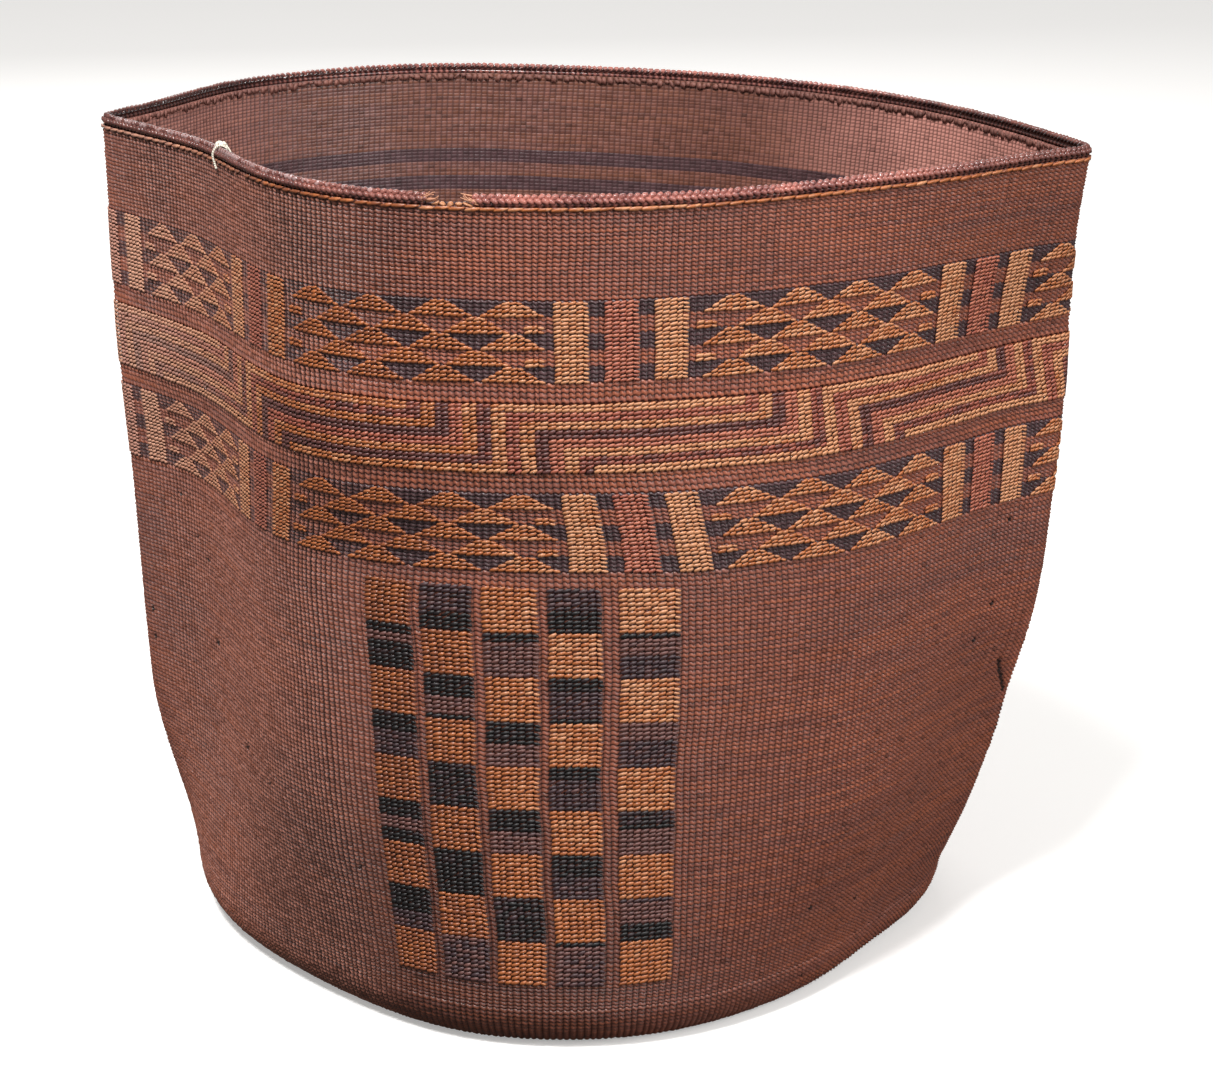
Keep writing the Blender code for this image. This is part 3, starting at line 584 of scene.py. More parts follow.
class Finish:
    """A material that is being put together from nodes."""

    def __init__(self, name):
        self.material = bpy.data.materials.new(name)
        self.material.use_nodes = True
        self.tree = self.material.node_tree
        self.shader = self.tree.nodes["Principled BSDF"]

    def node(self, kind, settings=None, sockets=None, output=0):
        """Any node: its settings are made first, then its sockets are set or linked."""
        node = self.tree.nodes.new(kind)
        for key, value in (settings or {}).items():
            setattr(node, key, value)
        for key, value in (sockets or {}).items():
            connect(self.tree, value, node.inputs[key])
        return Shade(self.tree, node.outputs[output])

    def mix(self, amount, first, second, blend="MIX"):
        """First colour where amount is 0, second where it is 1."""
        return self.node("ShaderNodeMix", {"data_type": "RGBA", "blend_type": blend},
                         {0: amount, 6: first, 7: second}, output=2)

    def places(self):
        """Stitch column and row of the weave map."""
        uv = self.node("ShaderNodeUVMap", {"uv_map": "weave"})
        column = self.node("ShaderNodeSeparateXYZ", None, {0: uv})
        return column, Shade(self.tree, column.socket.node.outputs[1])

    def point(self, x, y, z=0.0):
        return self.node("ShaderNodeCombineXYZ", None, {0: x, 1: y, 2: z})

    def position(self):
        return self.node("ShaderNodeTexCoord", output=3)

    def to_right(self):
        """How far a place lies to the right of the basket's middle, in metres."""
        return self.node("ShaderNodeSeparateXYZ", None, {0: self.position()})

    def chance(self, x, y):
        """Even random value for each whole place."""
        return self.node("ShaderNodeTexWhiteNoise", {"noise_dimensions": "2D"}, {"Vector": self.point(x, y)})

    def cloud(self, vector, scale=1.0, detail=2.0):
        return self.node("ShaderNodeTexNoise", None, {"Vector": vector, "Scale": scale, "Detail": detail})

    def shaded(self, colour, level):
        """The colour times a grey level."""
        grey = self.node("ShaderNodeCombineColor", None, {0: level, 1: level, 2: level})
        return self.mix(1.0, colour, grey, "MULTIPLY")

    def amount(self, attribute):
        """Value that is kept per point of the mesh."""
        return self.node("ShaderNodeAttribute", {"attribute_name": attribute}, output=2)

    def surface(self, colour, roughness, height, depth, strength):
        """The finished material, with a bump from its height."""
        bump = self.node("ShaderNodeBump", None, {"Strength": strength, "Distance": depth, "Height": height})
        for name, value in (("Base Color", colour), ("Roughness", roughness), ("Normal", bump)):
            connect(self.tree, value, self.shader.inputs[name])
        return self.material


ROOT_CORE = srgb(149, 86, 69)
ROOT_WARM = srgb(166, 93, 66)
ROOT_EDGE = srgb(122, 80, 72)
ROOT_GREY = srgb(112, 82, 80)
ROOT_GAP_SHADE_AND_SPECKS = srgb(20, 11, 10)
DYED_CORE = srgb(74, 50, 52)
DYED_EDGE = srgb(92, 66, 68)
INSIDE_CORE = srgb(106, 66, 55)
INSIDE_WARM = srgb(118, 73, 55)
INSIDE_PAINTED_LIGHT = srgb(220, 154, 140)
BEAD_PAINTED_HIGHLIGHT = srgb(204, 138, 118)


def stitch_cells(finish, lean):
    """Places inside each stitch: whole column and row, and how far out from its middle line."""
    column, row = finish.places()
    inside_x = column.fraction() - 0.5
    return column, row, abs(inside_x) * 2, abs(row.fraction() + inside_x * lean - 0.5) * 2


def dyed_rows(from_bottom):
    """1 on the dyed rows of a band: four dyed, four plain, from its bottom."""
    return ((from_bottom % 8) < 4) * (from_bottom > 0) * (from_bottom < BAND_ROWS)


def painted_low_shade(column, row):
    """Painted shade: the lower wall darker, less so on the right."""
    return 1 - row.between(175.0, 90.0) * (0.28 - column.between(10.0, 60.0) * 0.20)


def root_weave(name, dyed_from=None, inside=False):
    """Plain twined spruce root. Some rows of a band are dyed dark, of both bands on the inside."""
    finish = Finish(name)
    column, row, across, up = stitch_cells(finish, 2 * STITCH_LEAN)
    whole_column, whole_row = column.floor(), row.floor()
    chance = finish.chance(whole_column, whole_row)
    second = finish.chance(whole_column + 31, whole_row + 17)
    patches = finish.cloud(finish.position(), 24.0, 3.0)
    strand = finish.cloud(finish.point(column * 0.035, whole_row * 3.7))
    streaks = finish.cloud(finish.point(column * 0.010, row * 0.22, 4.0), detail=3.0)
    streaks = streaks * (column.between(-60.0, -20.0) * 0.25 + 0.75)
    edge = up.at_least(across ** 2).between(0.35, 0.95)
    warm = strand.between(0.35, 0.65)
    to_right = finish.to_right()
    if inside:
        # Painted light on the inside of the right wall, and less on the left
        side = to_right.between(0.05, 0.12) + to_right.between(-0.09, -0.15) * 0.75
        core = finish.mix(side, finish.mix(warm, INSIDE_CORE, INSIDE_WARM), INSIDE_PAINTED_LIGHT)
    else:
        core = finish.mix(warm, ROOT_CORE, ROOT_WARM)
    greyed = (edge * 0.55 + streaks.between(0.50, 0.72) * 0.32 + (chance - 0.5) * 0.40
              + patches.between(0.45, 0.65) * 0.25).at_most(1.0).at_least(0.0)
    colour = finish.mix(greyed, core, finish.mix(to_right.between(0.02, -0.14), ROOT_EDGE, ROOT_GREY))
    if dyed_from is not None:
        dyed = dyed_rows(row - dyed_from)
        if inside:
            dyed = dyed + dyed_rows(row - FIRST_ROW["upper_band"])
        colour = finish.mix(dyed, colour, finish.mix(edge * 0.6 + chance * 0.3, DYED_CORE, DYED_EDGE))
    lightness = 0.74 + chance * 0.30 + strand * 0.34 - patches * 0.12
    if not inside:
        # Upright chains near the left fold, darker towards the top; the upper field darker, with painted shade in
        # the crease; painted shade low on the left, below the fold, and over the lower wall; and painted light on
        # the lifted flap beside the slit on the right
        chain = column.between(-22.0, -40.0) * (1 - column.between(-88.0, -104.0) * 0.6)
        chain = chain + column.between(283.0, 303.0) * 0.4
        crease_shade = column.between(-60.0, -38.0) * column.between(-10.0, -24.0)
        # Painted shade low on the left, where the wall turns under below the fold
        low = row.between(85.0, 40.0) * column.between(20.0, -8.0) * column.between(-78.0, -52.0)
        flap_painted_light = column.between(84.5, 85.5) * column.between(92.0, 89.0)
        flap_painted_light = flap_painted_light * row.between(60.0, 66.0) * row.between(94.0, 82.0)
        lightness = lightness * (1 - chain * (0.06 + row.between(140.0, 190.0) * 0.30))
        lightness = lightness * (1 - row.between(162.0, 182.0) * (0.10 + crease_shade * 0.24))
        lightness = lightness * (1 - low * 0.45) * painted_low_shade(column, row) + flap_painted_light * 0.25
    colour = finish.shaded(colour, lightness)
    colour = finish.mix(second.between(0.93, 0.99) * 0.35, colour, ROOT_GAP_SHADE_AND_SPECKS)
    dome = (1 - up ** 2) * (1 - across ** 4)
    # Painted shade in the holes and grooves between stitches, and between the ribs inside; the dark specks and
    # cracks go in with it
    if inside:
        gap_shade_and_cracks = (across.between(0.35, 1.0) * 0.50).at_least(up.between(0.72, 1.0) * 0.12)
    else:
        leftward, downward = (0.5 - column.fraction()) * 2, (0.5 - row.fraction()) * 2
        hole = leftward.between(-0.35, 0.55) * downward.between(0.40, 0.85) * (0.55 + second * 0.55)
        hole = hole.at_least(across.between(0.60, 0.95) * up.between(0.45, 0.90) * 0.8)
        rows = up.between(0.72, 1.0) * (0.44 - chain * 0.36)
        lines = across.between(0.82 - chain * 0.47, 1.0 - chain * 0.20) * (0.18 + chain * 0.80)
        gap_shade_and_cracks = (hole * (1 - chain * 0.5)).at_least(rows).at_least(lines)
        gap_shade_and_cracks = gap_shade_and_cracks.at_least(finish.amount("worn").between(0.25, 0.7))
        # Painted highlight on the beads of the upright chains
        colour = finish.mix(chain * dome.between(0.45, 0.95) * (0.15 + chance * 0.50), colour, BEAD_PAINTED_HIGHLIGHT)
    colour = finish.mix(gap_shade_and_cracks * 0.95, colour, ROOT_GAP_SHADE_AND_SPECKS)
    fibre = finish.cloud(finish.point(column * 1.4, row * 9.0))
    return finish.surface(colour, 0.42, dome + fibre * 0.2, depth=0.00015 if inside else 0.0004, strength=0.7)


def build_walls():
    """All plain twined courses, inside which the dyed rows of the bands lie, and the base."""
    plain = root_weave("twined_root")
    dyed = {name: root_weave(f"twined_root_{name}", FIRST_ROW[name]) for name in ("lower_band", "upper_band")}
    weave_ring("heel_weave", 0, FIRST_ROW["plain_foot"], plain, "root", "heel_wefts")
    thirds = [LEFT_FOLD + number * (STITCHES // 3) for number in range(3)] + [LEFT_FOLD + STITCHES]
    for number in range(3):
        weave_ring(f"lower_field_weave_{number + 1}", FIRST_ROW["plain_foot"], FIRST_ROW["lower_band"],
                   plain, "root", "lower_field_wefts", first=thirds[number], last=thirds[number + 1], folds=2)
    courses = ("lower_band", "lower_plain", "meander", "upper_plain", "upper_band", "upper_field", "rim")
    for name, above in zip(courses, courses[1:]):
        weave_ring(f"{name}_weave", FIRST_ROW[name], FIRST_ROW[above], dyed.get(name, plain),
                   "dyed_root" if name in dyed else "root", name + ("_course" if "plain" in name else "_wefts"),
                   fineness=COVERED if name == "meander" else BARE)
    inside = root_weave("twined_root_inside", FIRST_ROW["lower_band"], inside=True)
    inner_wall("inner_wall_lower", 0, FIRST_ROW["lower_band"], 2, inside)
    inner_wall("inner_wall_upper", FIRST_ROW["lower_band"], ROWS, 1, inside)
    base_disc("base_underside", 0.0, -1, plain, "base_wefts")
    base_disc("base_floor", FLOOR_LEVEL, 1, plain, "warp_foundation")
    base_start(plain)


def inner_wall(name, bottom, top, step, material):
    """The wall's inside, with a rib over each warp. Its columns run the other way round, to face in."""
    piece, x, y = grid_piece(name, STITCHES * 2, (top - bottom) // step)
    columns, rows = LEFT_FOLD + STITCHES - x / 2, bottom + y * step
    on_rib = np.rint(columns * 2).astype(int) % 2 == 1
    cell = np.floor(columns).astype(int) * 31 + rows.astype(int)
    offset = INNER_FACE + np.where(on_rib, RIB_CREST, RIB_GROOVE) + RIB_UNEVENNESS * stitch_draws(cell, bottom + 40)
    set_points(piece.data, wall_point(columns, rows, offset + SLOW_SWELL * SLOW_WAVE(columns, rows)))
    map_strip(piece.data, columns, rows, (LEFT_FOLD, LEFT_FOLD + STITCHES, bottom, top), 4)
    mend(piece, merge=SEAM_GAP)
    return finish_piece(piece, material, "root", "warp_foundation")


# Rings of the base from the heel inwards: outer and inner radius, stitches round and rows
BASE_EDGE = BASE_RADIUS - HEEL_REACH
BASE_RINGS = ((BASE_EDGE, 88 * MM, 340, 16), (88 * MM, 66 * MM, 270, 16), (66 * MM, 45 * MM, 200, 15),
              (45 * MM, 27 * MM, 132, 13), (27 * MM, 12 * MM, 72, 11))
FLOOR_LEVEL = 2.2 * MM
# How deep the twining of the base lies beside a warp or between rows, and at both
BASE_GROOVE = 0.30 * MM
BASE_HOLE = 0.75 * MM
# The plaited start: its strips lie in a layer that is seen inside (1) and one that is seen below (-1)
START_SIZE = 26 * MM
START_STRIPS = 12
START_LAYERS = ((1, 2.95 * MM), (-1, 0.62 * MM))
STRIP_RISE = 0.17 * MM
STRIP_THICKNESS = 0.22 * MM


def base_reach(turn):
    """How far the heel's lower edge lies from the base's middle in each direction, by its mean."""
    edge = FACE[0][:, :2] - BASE_CENTRE
    angle = np.arctan2(edge[:, 1], edge[:, 0])
    order = np.argsort(angle)
    return np.interp(turn, angle[order], np.linalg.norm(edge, axis=1)[order], period=2 * math.pi) / BASE_EDGE


def base_disc(name, level, facing, material, *nodes):
    """Rings of twining over the base, with fewer warps towards the middle. It faces up (1) or down (-1)."""
    rings = []
    for number, (outer, inner, stitches, rows) in enumerate(BASE_RINGS):
        piece, x, y = grid_piece(f"{name}_{number}", stitches * 2, rows * 2)
        turn = x / (stitches * 2) * 2 * math.pi * facing
        radius = outer + (inner - outer) * y / (rows * 2)
        radius = radius * (1 + (base_reach(turn) - 1) * (radius / BASE_EDGE) ** 2)
        on_rib, on_row = x % 2 == 1, y % 2 == 1
        groove = np.where(on_rib & on_row, 0.0, np.where(on_rib | on_row, BASE_GROOVE, BASE_HOLE))
        flat = np.array((radius * np.cos(turn), radius * np.sin(turn)))
        spots = np.column_stack([*(BASE_CENTRE[:, None] + flat), level - facing * groove])
        set_points(piece.data, spots)
        set_maps(piece.data, (x / 2, -1000.0 * number - y / 2), 0.5 + flat / (2.1 * BASE_EDGE))
        mend(piece, merge=SEAM_GAP)
        rings.append(piece)
    return finish_piece(join(rings, name), material, "root", *nodes)


def base_start(material):
    """The plaited square that the first warps start from, seen inside and under the base."""
    strips = []
    pitch = START_SIZE / START_STRIPS
    steps = START_STRIPS * 4
    for layer, middle in START_LAYERS:
        for crosswise in (0, 1):
            for number in range(START_STRIPS):
                piece, x, y = grid_piece("strip", steps, 4)
                along = (x / steps - 0.5) * START_SIZE
                angle = 2 * math.pi * y / 4
                wave = STRIP_RISE * np.cos(math.pi * (x / 4 - 0.5 + number + 2 * crosswise))
                across = (number + 0.5) * pitch - START_SIZE / 2 + 0.47 * pitch * np.cos(angle)
                rise = middle + wave * layer + STRIP_THICKNESS * np.sin(angle)
                place = (along, across) if crosswise else (across, along)
                set_points(piece.data, np.column_stack([*(BASE_CENTRE[:, None] + place), rise]))
                slot = number + START_STRIPS * (crosswise + (1 - layer))
                set_maps(piece.data, (number * 2.0 + crosswise * 100 + y / 4, x / 4),
                         ((slot + 0.1 + 0.8 * y / 4) / (4 * START_STRIPS), x / steps))
                mend(piece, merge=SEAM_GAP / 10, turn_out=True)
                strips.append(piece)
    return finish_piece(join(strips, "plaited_start"), material, "root", "base_start")


# Rim

BINDING_BREAK = (-17, -11)
BINDING_LEVEL = WALL_TOP + 1.9 * MM
PLAIT_PERIOD = 3.0
PLAIT_SWING = 0.98 * MM
PLAIT_DEPTH = 0.82 * MM
PLAIT_TILT = math.radians(35)
STRAND_RADIUS = 0.66 * MM
CORE_LEVELS = (-1.25 * MM, -0.15 * MM)
CORE_RADIUS = 0.95 * MM
KNOB_SIZE = (1.15 * MM, 1.0 * MM, 0.66 * MM)
STITCH_PITCH = 2.1 * MM
LOBE_DRAWS = random.uniform(0, 1, 256)


def rim_places(columns, outward, up):
    """Points by the rim: outward and up from the middle of the binding."""
    columns = np.asarray(columns, float)
    middle = wall_point(columns, ROWS, WALL_MIDDLE)
    away = wall_point(columns, ROWS, WALL_MIDDLE + MM) - middle
    away[:, 2] = 0.0
    away /= np.linalg.norm(away, axis=1)[:, None]
    spots = middle + away * np.broadcast_to(outward, columns.shape)[:, None]
    spots[:, 2] = BINDING_LEVEL + up
    return spots


def cord_piece(name, spots, radius, along, bevel_resolution=1, taper=None, crest=None):
    """Round strand through points, as a mesh. Its weave map runs along it (u) and round it (v)."""
    curve = bpy.data.curves.new(name, "CURVE")
    curve.dimensions = "3D"
    curve.bevel_depth = radius
    curve.bevel_resolution = bevel_resolution
    spline = curve.splines.new("POLY")
    spline.points.add(len(spots) - 1)
    for i, spot in enumerate(spots):
        spline.points[i].co = (*spot, 1.0)
        spline.points[i].radius = 1.0 if taper is None else taper[i]
    piece = bpy.data.objects.new(name, curve)
    bpy.context.collection.objects.link(piece)
    only(piece)
    bpy.ops.object.convert(target="MESH")
    piece = bpy.context.object
    mesh = piece.data
    sides = len(mesh.vertices) // len(spots)
    index = corner_values(mesh, np.arange(len(mesh.vertices)))
    ring, side = index // sides, (index % sides).astype(float)
    side = np.where((side == 0) & (face_means(mesh, side) >= sides / 2 - 0.51), sides, side)
    set_uv(mesh, "weave", np.asarray(along, float)[ring], side / sides)
    if crest is not None:
        set_values(mesh, "crest", np.repeat(crest, sides))
    mend(piece, turn_out=True)
    return piece


def fold_bake_map(mesh, first, last, folds, strip, strips):
    """Square map for a strand: its length is cut into folds, and it has its own strip in each fold."""
    flat = np.empty(len(mesh.loops) * 2, np.float32)
    mesh.uv_layers["weave"].data.foreach_get("uv", flat)
    along, around = flat.reshape(-1, 2).T
    fold, u = folded(along, face_means(mesh, along), first, last, folds)
    set_uv(mesh, "OFBake", np.clip(u, 0, 1), (fold * strips + strip + 0.05 + 0.9 * around) / (folds * strips))


def rim_plait(material):
    """Three split roots plaited along the edge, from one side of the break round to the other, over two
    thinner roots that close the middle."""
    first, last = BINDING_BREAK[1], BINDING_BREAK[0] + STITCHES
    columns = np.linspace(first, last, int((last - first) * 4) + 1)
    uneven = 1 + 0.10 * ring_noise(60, 15)(columns, 0 * columns)
    cords = []
    for number in range(3):
        turn = 2 * math.pi * (columns / PLAIT_PERIOD + number / 3)
        turn = turn + 0.5 * ring_noise(40, 17)(columns, 0 * columns)
        crest = np.sin(2 * turn)
        swing = PLAIT_SWING * np.sin(turn) * uneven
        depth = PLAIT_DEPTH * crest * uneven
        spots = rim_places(columns, depth * math.cos(PLAIT_TILT) - swing * math.sin(PLAIT_TILT),
                           depth * math.sin(PLAIT_TILT) + swing * math.cos(PLAIT_TILT))
        taper = 0.90 + 0.36 * crest + 0.05 * random.normal(0, 1, len(columns))
        # Painted glints on the upper lobes on the left: most of them, and fewer towards both ends
        lobe = np.floor(turn / math.pi).astype(int) * 3 + number
        seen = 30 * LOBE_DRAWS[lobe % 256]
        painted_glint = ((crest > 0.72) & (swing > 0) & (columns > 296 + seen) & (columns < 366 + seen)
                 & (LOBE_DRAWS[lobe % 97] < 0.85))
        cords.append(cord_piece("rim_strand", spots, STRAND_RADIUS, columns + number * 0.37, taper=taper,
                                crest=crest + painted_glint))
    columns = np.arange(first + 0.25, last - 0.2, 0.5)
    hollow = np.arange(len(columns)) % 2
    # The thinner places of the core get painted shade
    for up in CORE_LEVELS:
        cords.append(cord_piece("rim_core", rim_places(columns, 0.0, up), CORE_RADIUS, columns,
                                taper=1 - 0.2 * hollow, crest=0.4 - 0.7 * hollow))
    for number, cord in enumerate(cords):
        fold_bake_map(cord.data, first, last, 24, number, len(cords))
    return finish_piece(join(cords, "rim_plaited_binding"), material, "rim_root", "rim_binding")


def rim_ends(material):
    """Cut warp ends turned down inside the rim, rough and close together, one for each warp."""
    stubs = []
    for column in range(LEFT_FOLD, LEFT_FOLD + STITCHES):
        tall = random.uniform(1.5, 2.9)
        stubs.append((column + random.normal(0, 0.12), ROWS + 0.1 - tall, 0.9, tall, random.normal(0, 0.35), 0.0))
    return grass_piece("rim_turned_warp_ends", stubs, material, "rim_root", "rim_turned_warp_ends",
                       lift=INNER_FACE - 0.30 * MM, thickness=0.32 * MM, width_share=0.54, length_share=0.56)


def rim_grass_row(material):
    """The row of grass under the binding: each stitch passes over two warps."""
    stitches = []
    for column in range(LEFT_FOLD, LEFT_FOLD + STITCHES, 2):
        if random.random() > 0.04:
            dye = 0.45 + 0.25 * (column < -20) + random.normal(0, 0.15)
            stitches.append((column + random.normal(0, 0.08), ROWS - 1.0 + random.normal(0, 0.06),
                             2.0, 1.15, 0.30, dye))
    return grass_piece("rim_grass_row", stitches, material, "straw", "rim_grass_row", lift=0.30 * MM,
                       thickness=0.45 * MM, length_share=0.60)


def rim_knobs(material):
    """Bent ends of grass over the bare edge, where the binding is broken."""
    knobs = []
    for number in range(5):
        column = BINDING_BREAK[0] + 0.9 + number * 1.12 + random.normal(0, 0.08)
        bpy.ops.mesh.primitive_uv_sphere_add(segments=12, ring_count=8, radius=1.0)
        mesh = bpy.context.object.data
        spots = np.array([vertex.co for vertex in mesh.vertices])
        lumpy = 1 + 0.16 * np.sin(3.1 * spots[:, 0] + number) + 0.12 * np.sin(4.3 * spots[:, 2] + 2 * number)
        x, y, z = (spots * lumpy[:, None]).T
        across, outward, up = np.array(KNOB_SIZE) * random.uniform(0.85, 1.12)
        lean = random.uniform(-0.5, 0.5)
        set_points(mesh, rim_places(column + x * across / STITCH_PITCH, y * outward + 0.25 * MM,
                                    z * up + lean * x * across - 1.45 * MM))
        set_maps(mesh, (column + x / 2, z / 2), ((number + 0.5 + 0.4 * x) / 5, 0.5 + 0.4 * z))
        knobs.append(bpy.context.object)
    return finish_piece(join(knobs, "rim_bent_grass_ends"), material, "straw", "rim_grass_row")


def rim_frays(material):
    """Curled splinters of root at both broken ends of the binding."""
    frays = []
    along = np.linspace(0, 1, 9)
    for end, way in ((BINDING_BREAK[0], 1), (BINDING_BREAK[1], -1)):
        for number in range(9):
            reach = random.uniform(1.0, 2.6)
            curl = random.uniform(0.5, 1.6)
            start = random.uniform(-0.8, 0.8) * MM
            columns = end + way * (reach * np.sin(along * 1.3) - 0.9)
            up = start + MM * (curl * along ** 2 * 1.2 + 0.5 * np.sin(along * 2.6 + number))
            outward = MM * (random.uniform(-0.9, 0.9) + 0.7 * along)
            fray = cord_piece("fray", rim_places(columns, outward, np.minimum(up, 1.9 * MM)), FRAY_RADIUS,
                              along + number, taper=1.1 - 0.75 * along)
            fold_bake_map(fray.data, number, number + 1, 1, len(frays), 18)
            frays.append(fray)
    return finish_piece(join(frays, "rim_frayed_ends"), material, "rim_root", "rim_binding")


THREAD_COLUMN = -66
THREAD_RADIUS = 0.34 * MM
FRAY_RADIUS = 0.36 * MM
# The thread's way over the binding: outward and up in mm, and aside in stitches
THREAD_HOOK = ((-1.9, 0.9, 0.6), (-1.2, 1.85, 0.45), (-0.2, 2.3, 0.25), (0.9, 2.15, 0.0), (1.8, 1.3, -0.15),
               (2.35, 0.1, -0.25), (2.4, -1.2, -0.2), (2.15, -2.5, 0.0), (2.0, -3.6, 0.25), (1.9, -4.6, 0.6))


def rim_thread(material):
    """White thread tied over the binding: a hook down the outside, a knot on top, a tail inside."""
    steps = np.linspace(0, len(THREAD_HOOK) - 1, 40)
    hook = np.column_stack([np.interp(steps, np.arange(len(THREAD_HOOK)), part) for part in zip(*THREAD_HOOK)])
    for _ in range(3):
        hook[1:-1] = (hook[:-2] + 2 * hook[1:-1] + hook[2:]) / 4
    turn = np.linspace(0, 2 * math.pi * 3, 90)
    ring = 0.75 + 0.35 * np.cos(turn * 5 / 3)
    tail = np.linspace(0, 1, 14)
    pieces = []
    for name, aside, outward, up, share, along, taper in (
            ("thread_hook", hook[:, 2], hook[:, 0], hook[:, 1], 1.0, steps / 4, None),
            ("thread_knot", ring * np.cos(turn) - 1.0, 1.25 * ring * np.sin(turn) - 0.9,
             1.7 + 0.85 * np.sin(turn * 5 / 3), 1.5, turn / 3, None),
            ("thread_tail", 0.2 + 1.8 * tail, -1.7 - 0.7 * tail, 2.0 - 2.6 * tail ** 1.5, 0.9, tail * 4,
             1.1 - 0.5 * tail)):
        piece = cord_piece(name, rim_places(THREAD_COLUMN + aside, outward * MM, up * MM), THREAD_RADIUS * share,
                           along, bevel_resolution=2, taper=taper)
        fold_bake_map(piece.data, 0, 10, 1, len(pieces), 3)
        pieces.append(piece)
    return finish_piece(join(pieces, "rim_white_thread"), material, "thread", "rim_thread")


# False embroidery

def rice_grain():
    """One wrapped grass stitch, modelled once: its places run from -1 to 1 along, up and out."""
    bpy.ops.mesh.primitive_uv_sphere_add(segments=4, ring_count=4, radius=1.0)
    grain = bpy.context.object
    only(grain)
    bpy.ops.transform.rotate(value=math.radians(45), orient_axis="Z", center_override=(0, 0, 0))
    bpy.ops.transform.rotate(value=math.radians(90), orient_axis="Y", center_override=(0, 0, 0))
    bpy.ops.object.transform_apply(location=False, rotation=True, scale=True)
    mesh = grain.data
    spots = np.array([vertex.co for vertex in mesh.vertices])
    faces = [tuple(face.vertices) for face in mesh.polygons]
    bpy.data.objects.remove(grain, do_unlink=True)
    bpy.data.meshes.remove(mesh)
    return spots, faces


GRAIN_SPOTS, GRAIN_FACES = rice_grain()
GRAIN_LEAN = 0.30


def grass_piece(name, stitches, material, slot, *nodes, folds=6, lift=GRASS_LIFT, thickness=GRASS_THICKNESS,
                length_share=0.62, width_share=0.58):
    """Copies of the wrapped stitch. Each stitch is (column, row, columns long, rows high, lean, dye)."""
    stitches = np.array(stitches, float)
    count = len(stitches)
    draws = np.random.default_rng(len(name) + count)
    along, up, out = GRAIN_SPOTS.T
    column, row, length, tall, lean, dye = (stitches[:, i:i + 1] for i in range(6))
    long_by = length * (length_share * (1 + draws.normal(0, 0.05, (count, 1))))
    high_by = tall * (width_share * (1 + draws.normal(0, 0.06, (count, 1))))
    thick = thickness * (1 + draws.normal(0, 0.12, (count, 1)))
    columns = column + length / 2 + along * long_by + draws.normal(0, 0.04, (count, 1))
    rows = row + tall / 2 + up * high_by + along * lean * (1 + draws.normal(0, 0.2, (count, 1)))
    rows = rows + draws.normal(0, 0.05, (count, 1))
    offset = lift + out * thick - 0.14 * MM * along ** 2 + SLOW_SWELL * SLOW_WAVE(columns, rows)
    size = len(GRAIN_SPOTS)
    faces = [tuple(base + corner for corner in face) for base in range(0, count * size, size)
             for face in GRAIN_FACES]
    mesh = bpy.data.meshes.new(name)
    mesh.from_pydata(wall_point(columns, rows, offset).reshape(-1, 3), [], faces)
    piece = bpy.data.objects.new(name, mesh)
    bpy.context.collection.objects.link(piece)
    columns, rows, middle = (corner_values(mesh, values.ravel()) for values in (
        column + length * (along + 1) / 2, row + tall * (up + 1) / 2, column + length / 2 + 0 * along))
    set_uv(mesh, "weave", columns, rows)
    low, high = row.min(), (row + tall).max()
    fold, u = folded(columns, middle, column.min(), (column + length).max(), folds)
    set_uv(mesh, "OFBake", 0.01 + 0.98 * np.clip(u, 0, 1),
           (fold + 0.03 + 0.94 * (rows - low) / (high - low)) / folds)
    set_values(mesh, "dye", np.repeat(dye, size))
    return finish_piece(piece, material, slot, *nodes)


def grass(name, light, deep, dark, roughness=0.38):
    """Split grass, with painted shade at the ends and sides of each stitch, so that it is lighter along its crest.
    Its dye runs from 0, light, over deep to 1, dark.
    """
    finish = Finish(name)
    column, row = finish.places()
    whole_column, whole_row = column.floor(), row.floor()
    chance = finish.chance(whole_column, whole_row)
    second = finish.chance(whole_column + 5, whole_row + 77)
    strand = finish.cloud(finish.point(column * 0.09, whole_row * 2.3))
    tone = finish.amount("dye") + (chance - 0.5) * 0.45 + (strand - 0.5) * 0.60
    colour = finish.mix(tone.between(0.0, 0.5), light, deep)
    colour = finish.mix(tone.between(0.5, 1.0), colour, dark)
    colour = finish.mix(finish.to_right().between(-0.08, -0.15) * 0.55, colour, srgb(220, 170, 150))
    # Painted shade at the ends and sides of each stitch
    ends = (abs(column.fraction() - 0.5) * 2).between(0.60, 1.0)
    sides = (abs(row.fraction() - 0.5) * 2).between(0.50, 1.0)
    # Painted shade low on the wall, weaker on the grass
    colour = finish.shaded(colour, (0.97 - ends * 0.14 - sides * 0.17) * (0.87 + second * 0.20)
                           * (painted_low_shade(column, row) * 0.35 + 0.65))
    fibre = finish.cloud(finish.point(column * 1.2, row * 14.0))
    return finish.surface(colour, roughness, fibre, depth=0.00008, strength=0.35)


BAR_GROUPS = (-112, -61, 0, 61, 122, 183, 244)
BAR_GROUP_STITCHES = 19


def left_darkening(column):
    """How much browner the grass is to the left of the middle bars, from 0 to 0.36."""
    return 0.36 * math.exp(-((column + 32) / 22) ** 4)


def run(first, last, row, dye):
    """A row's run of wrapped stitches, closed by a short one at its right end."""
    end = last - 1
    stitches = [(column, row, 1.0, 1.0, GRAIN_LEAN, dye + left_darkening(column)) for column in range(first, end)]
    return stitches + [(end + 0.04, row + 0.02, 0.72, 0.80, -0.10, dye + left_darkening(end))]


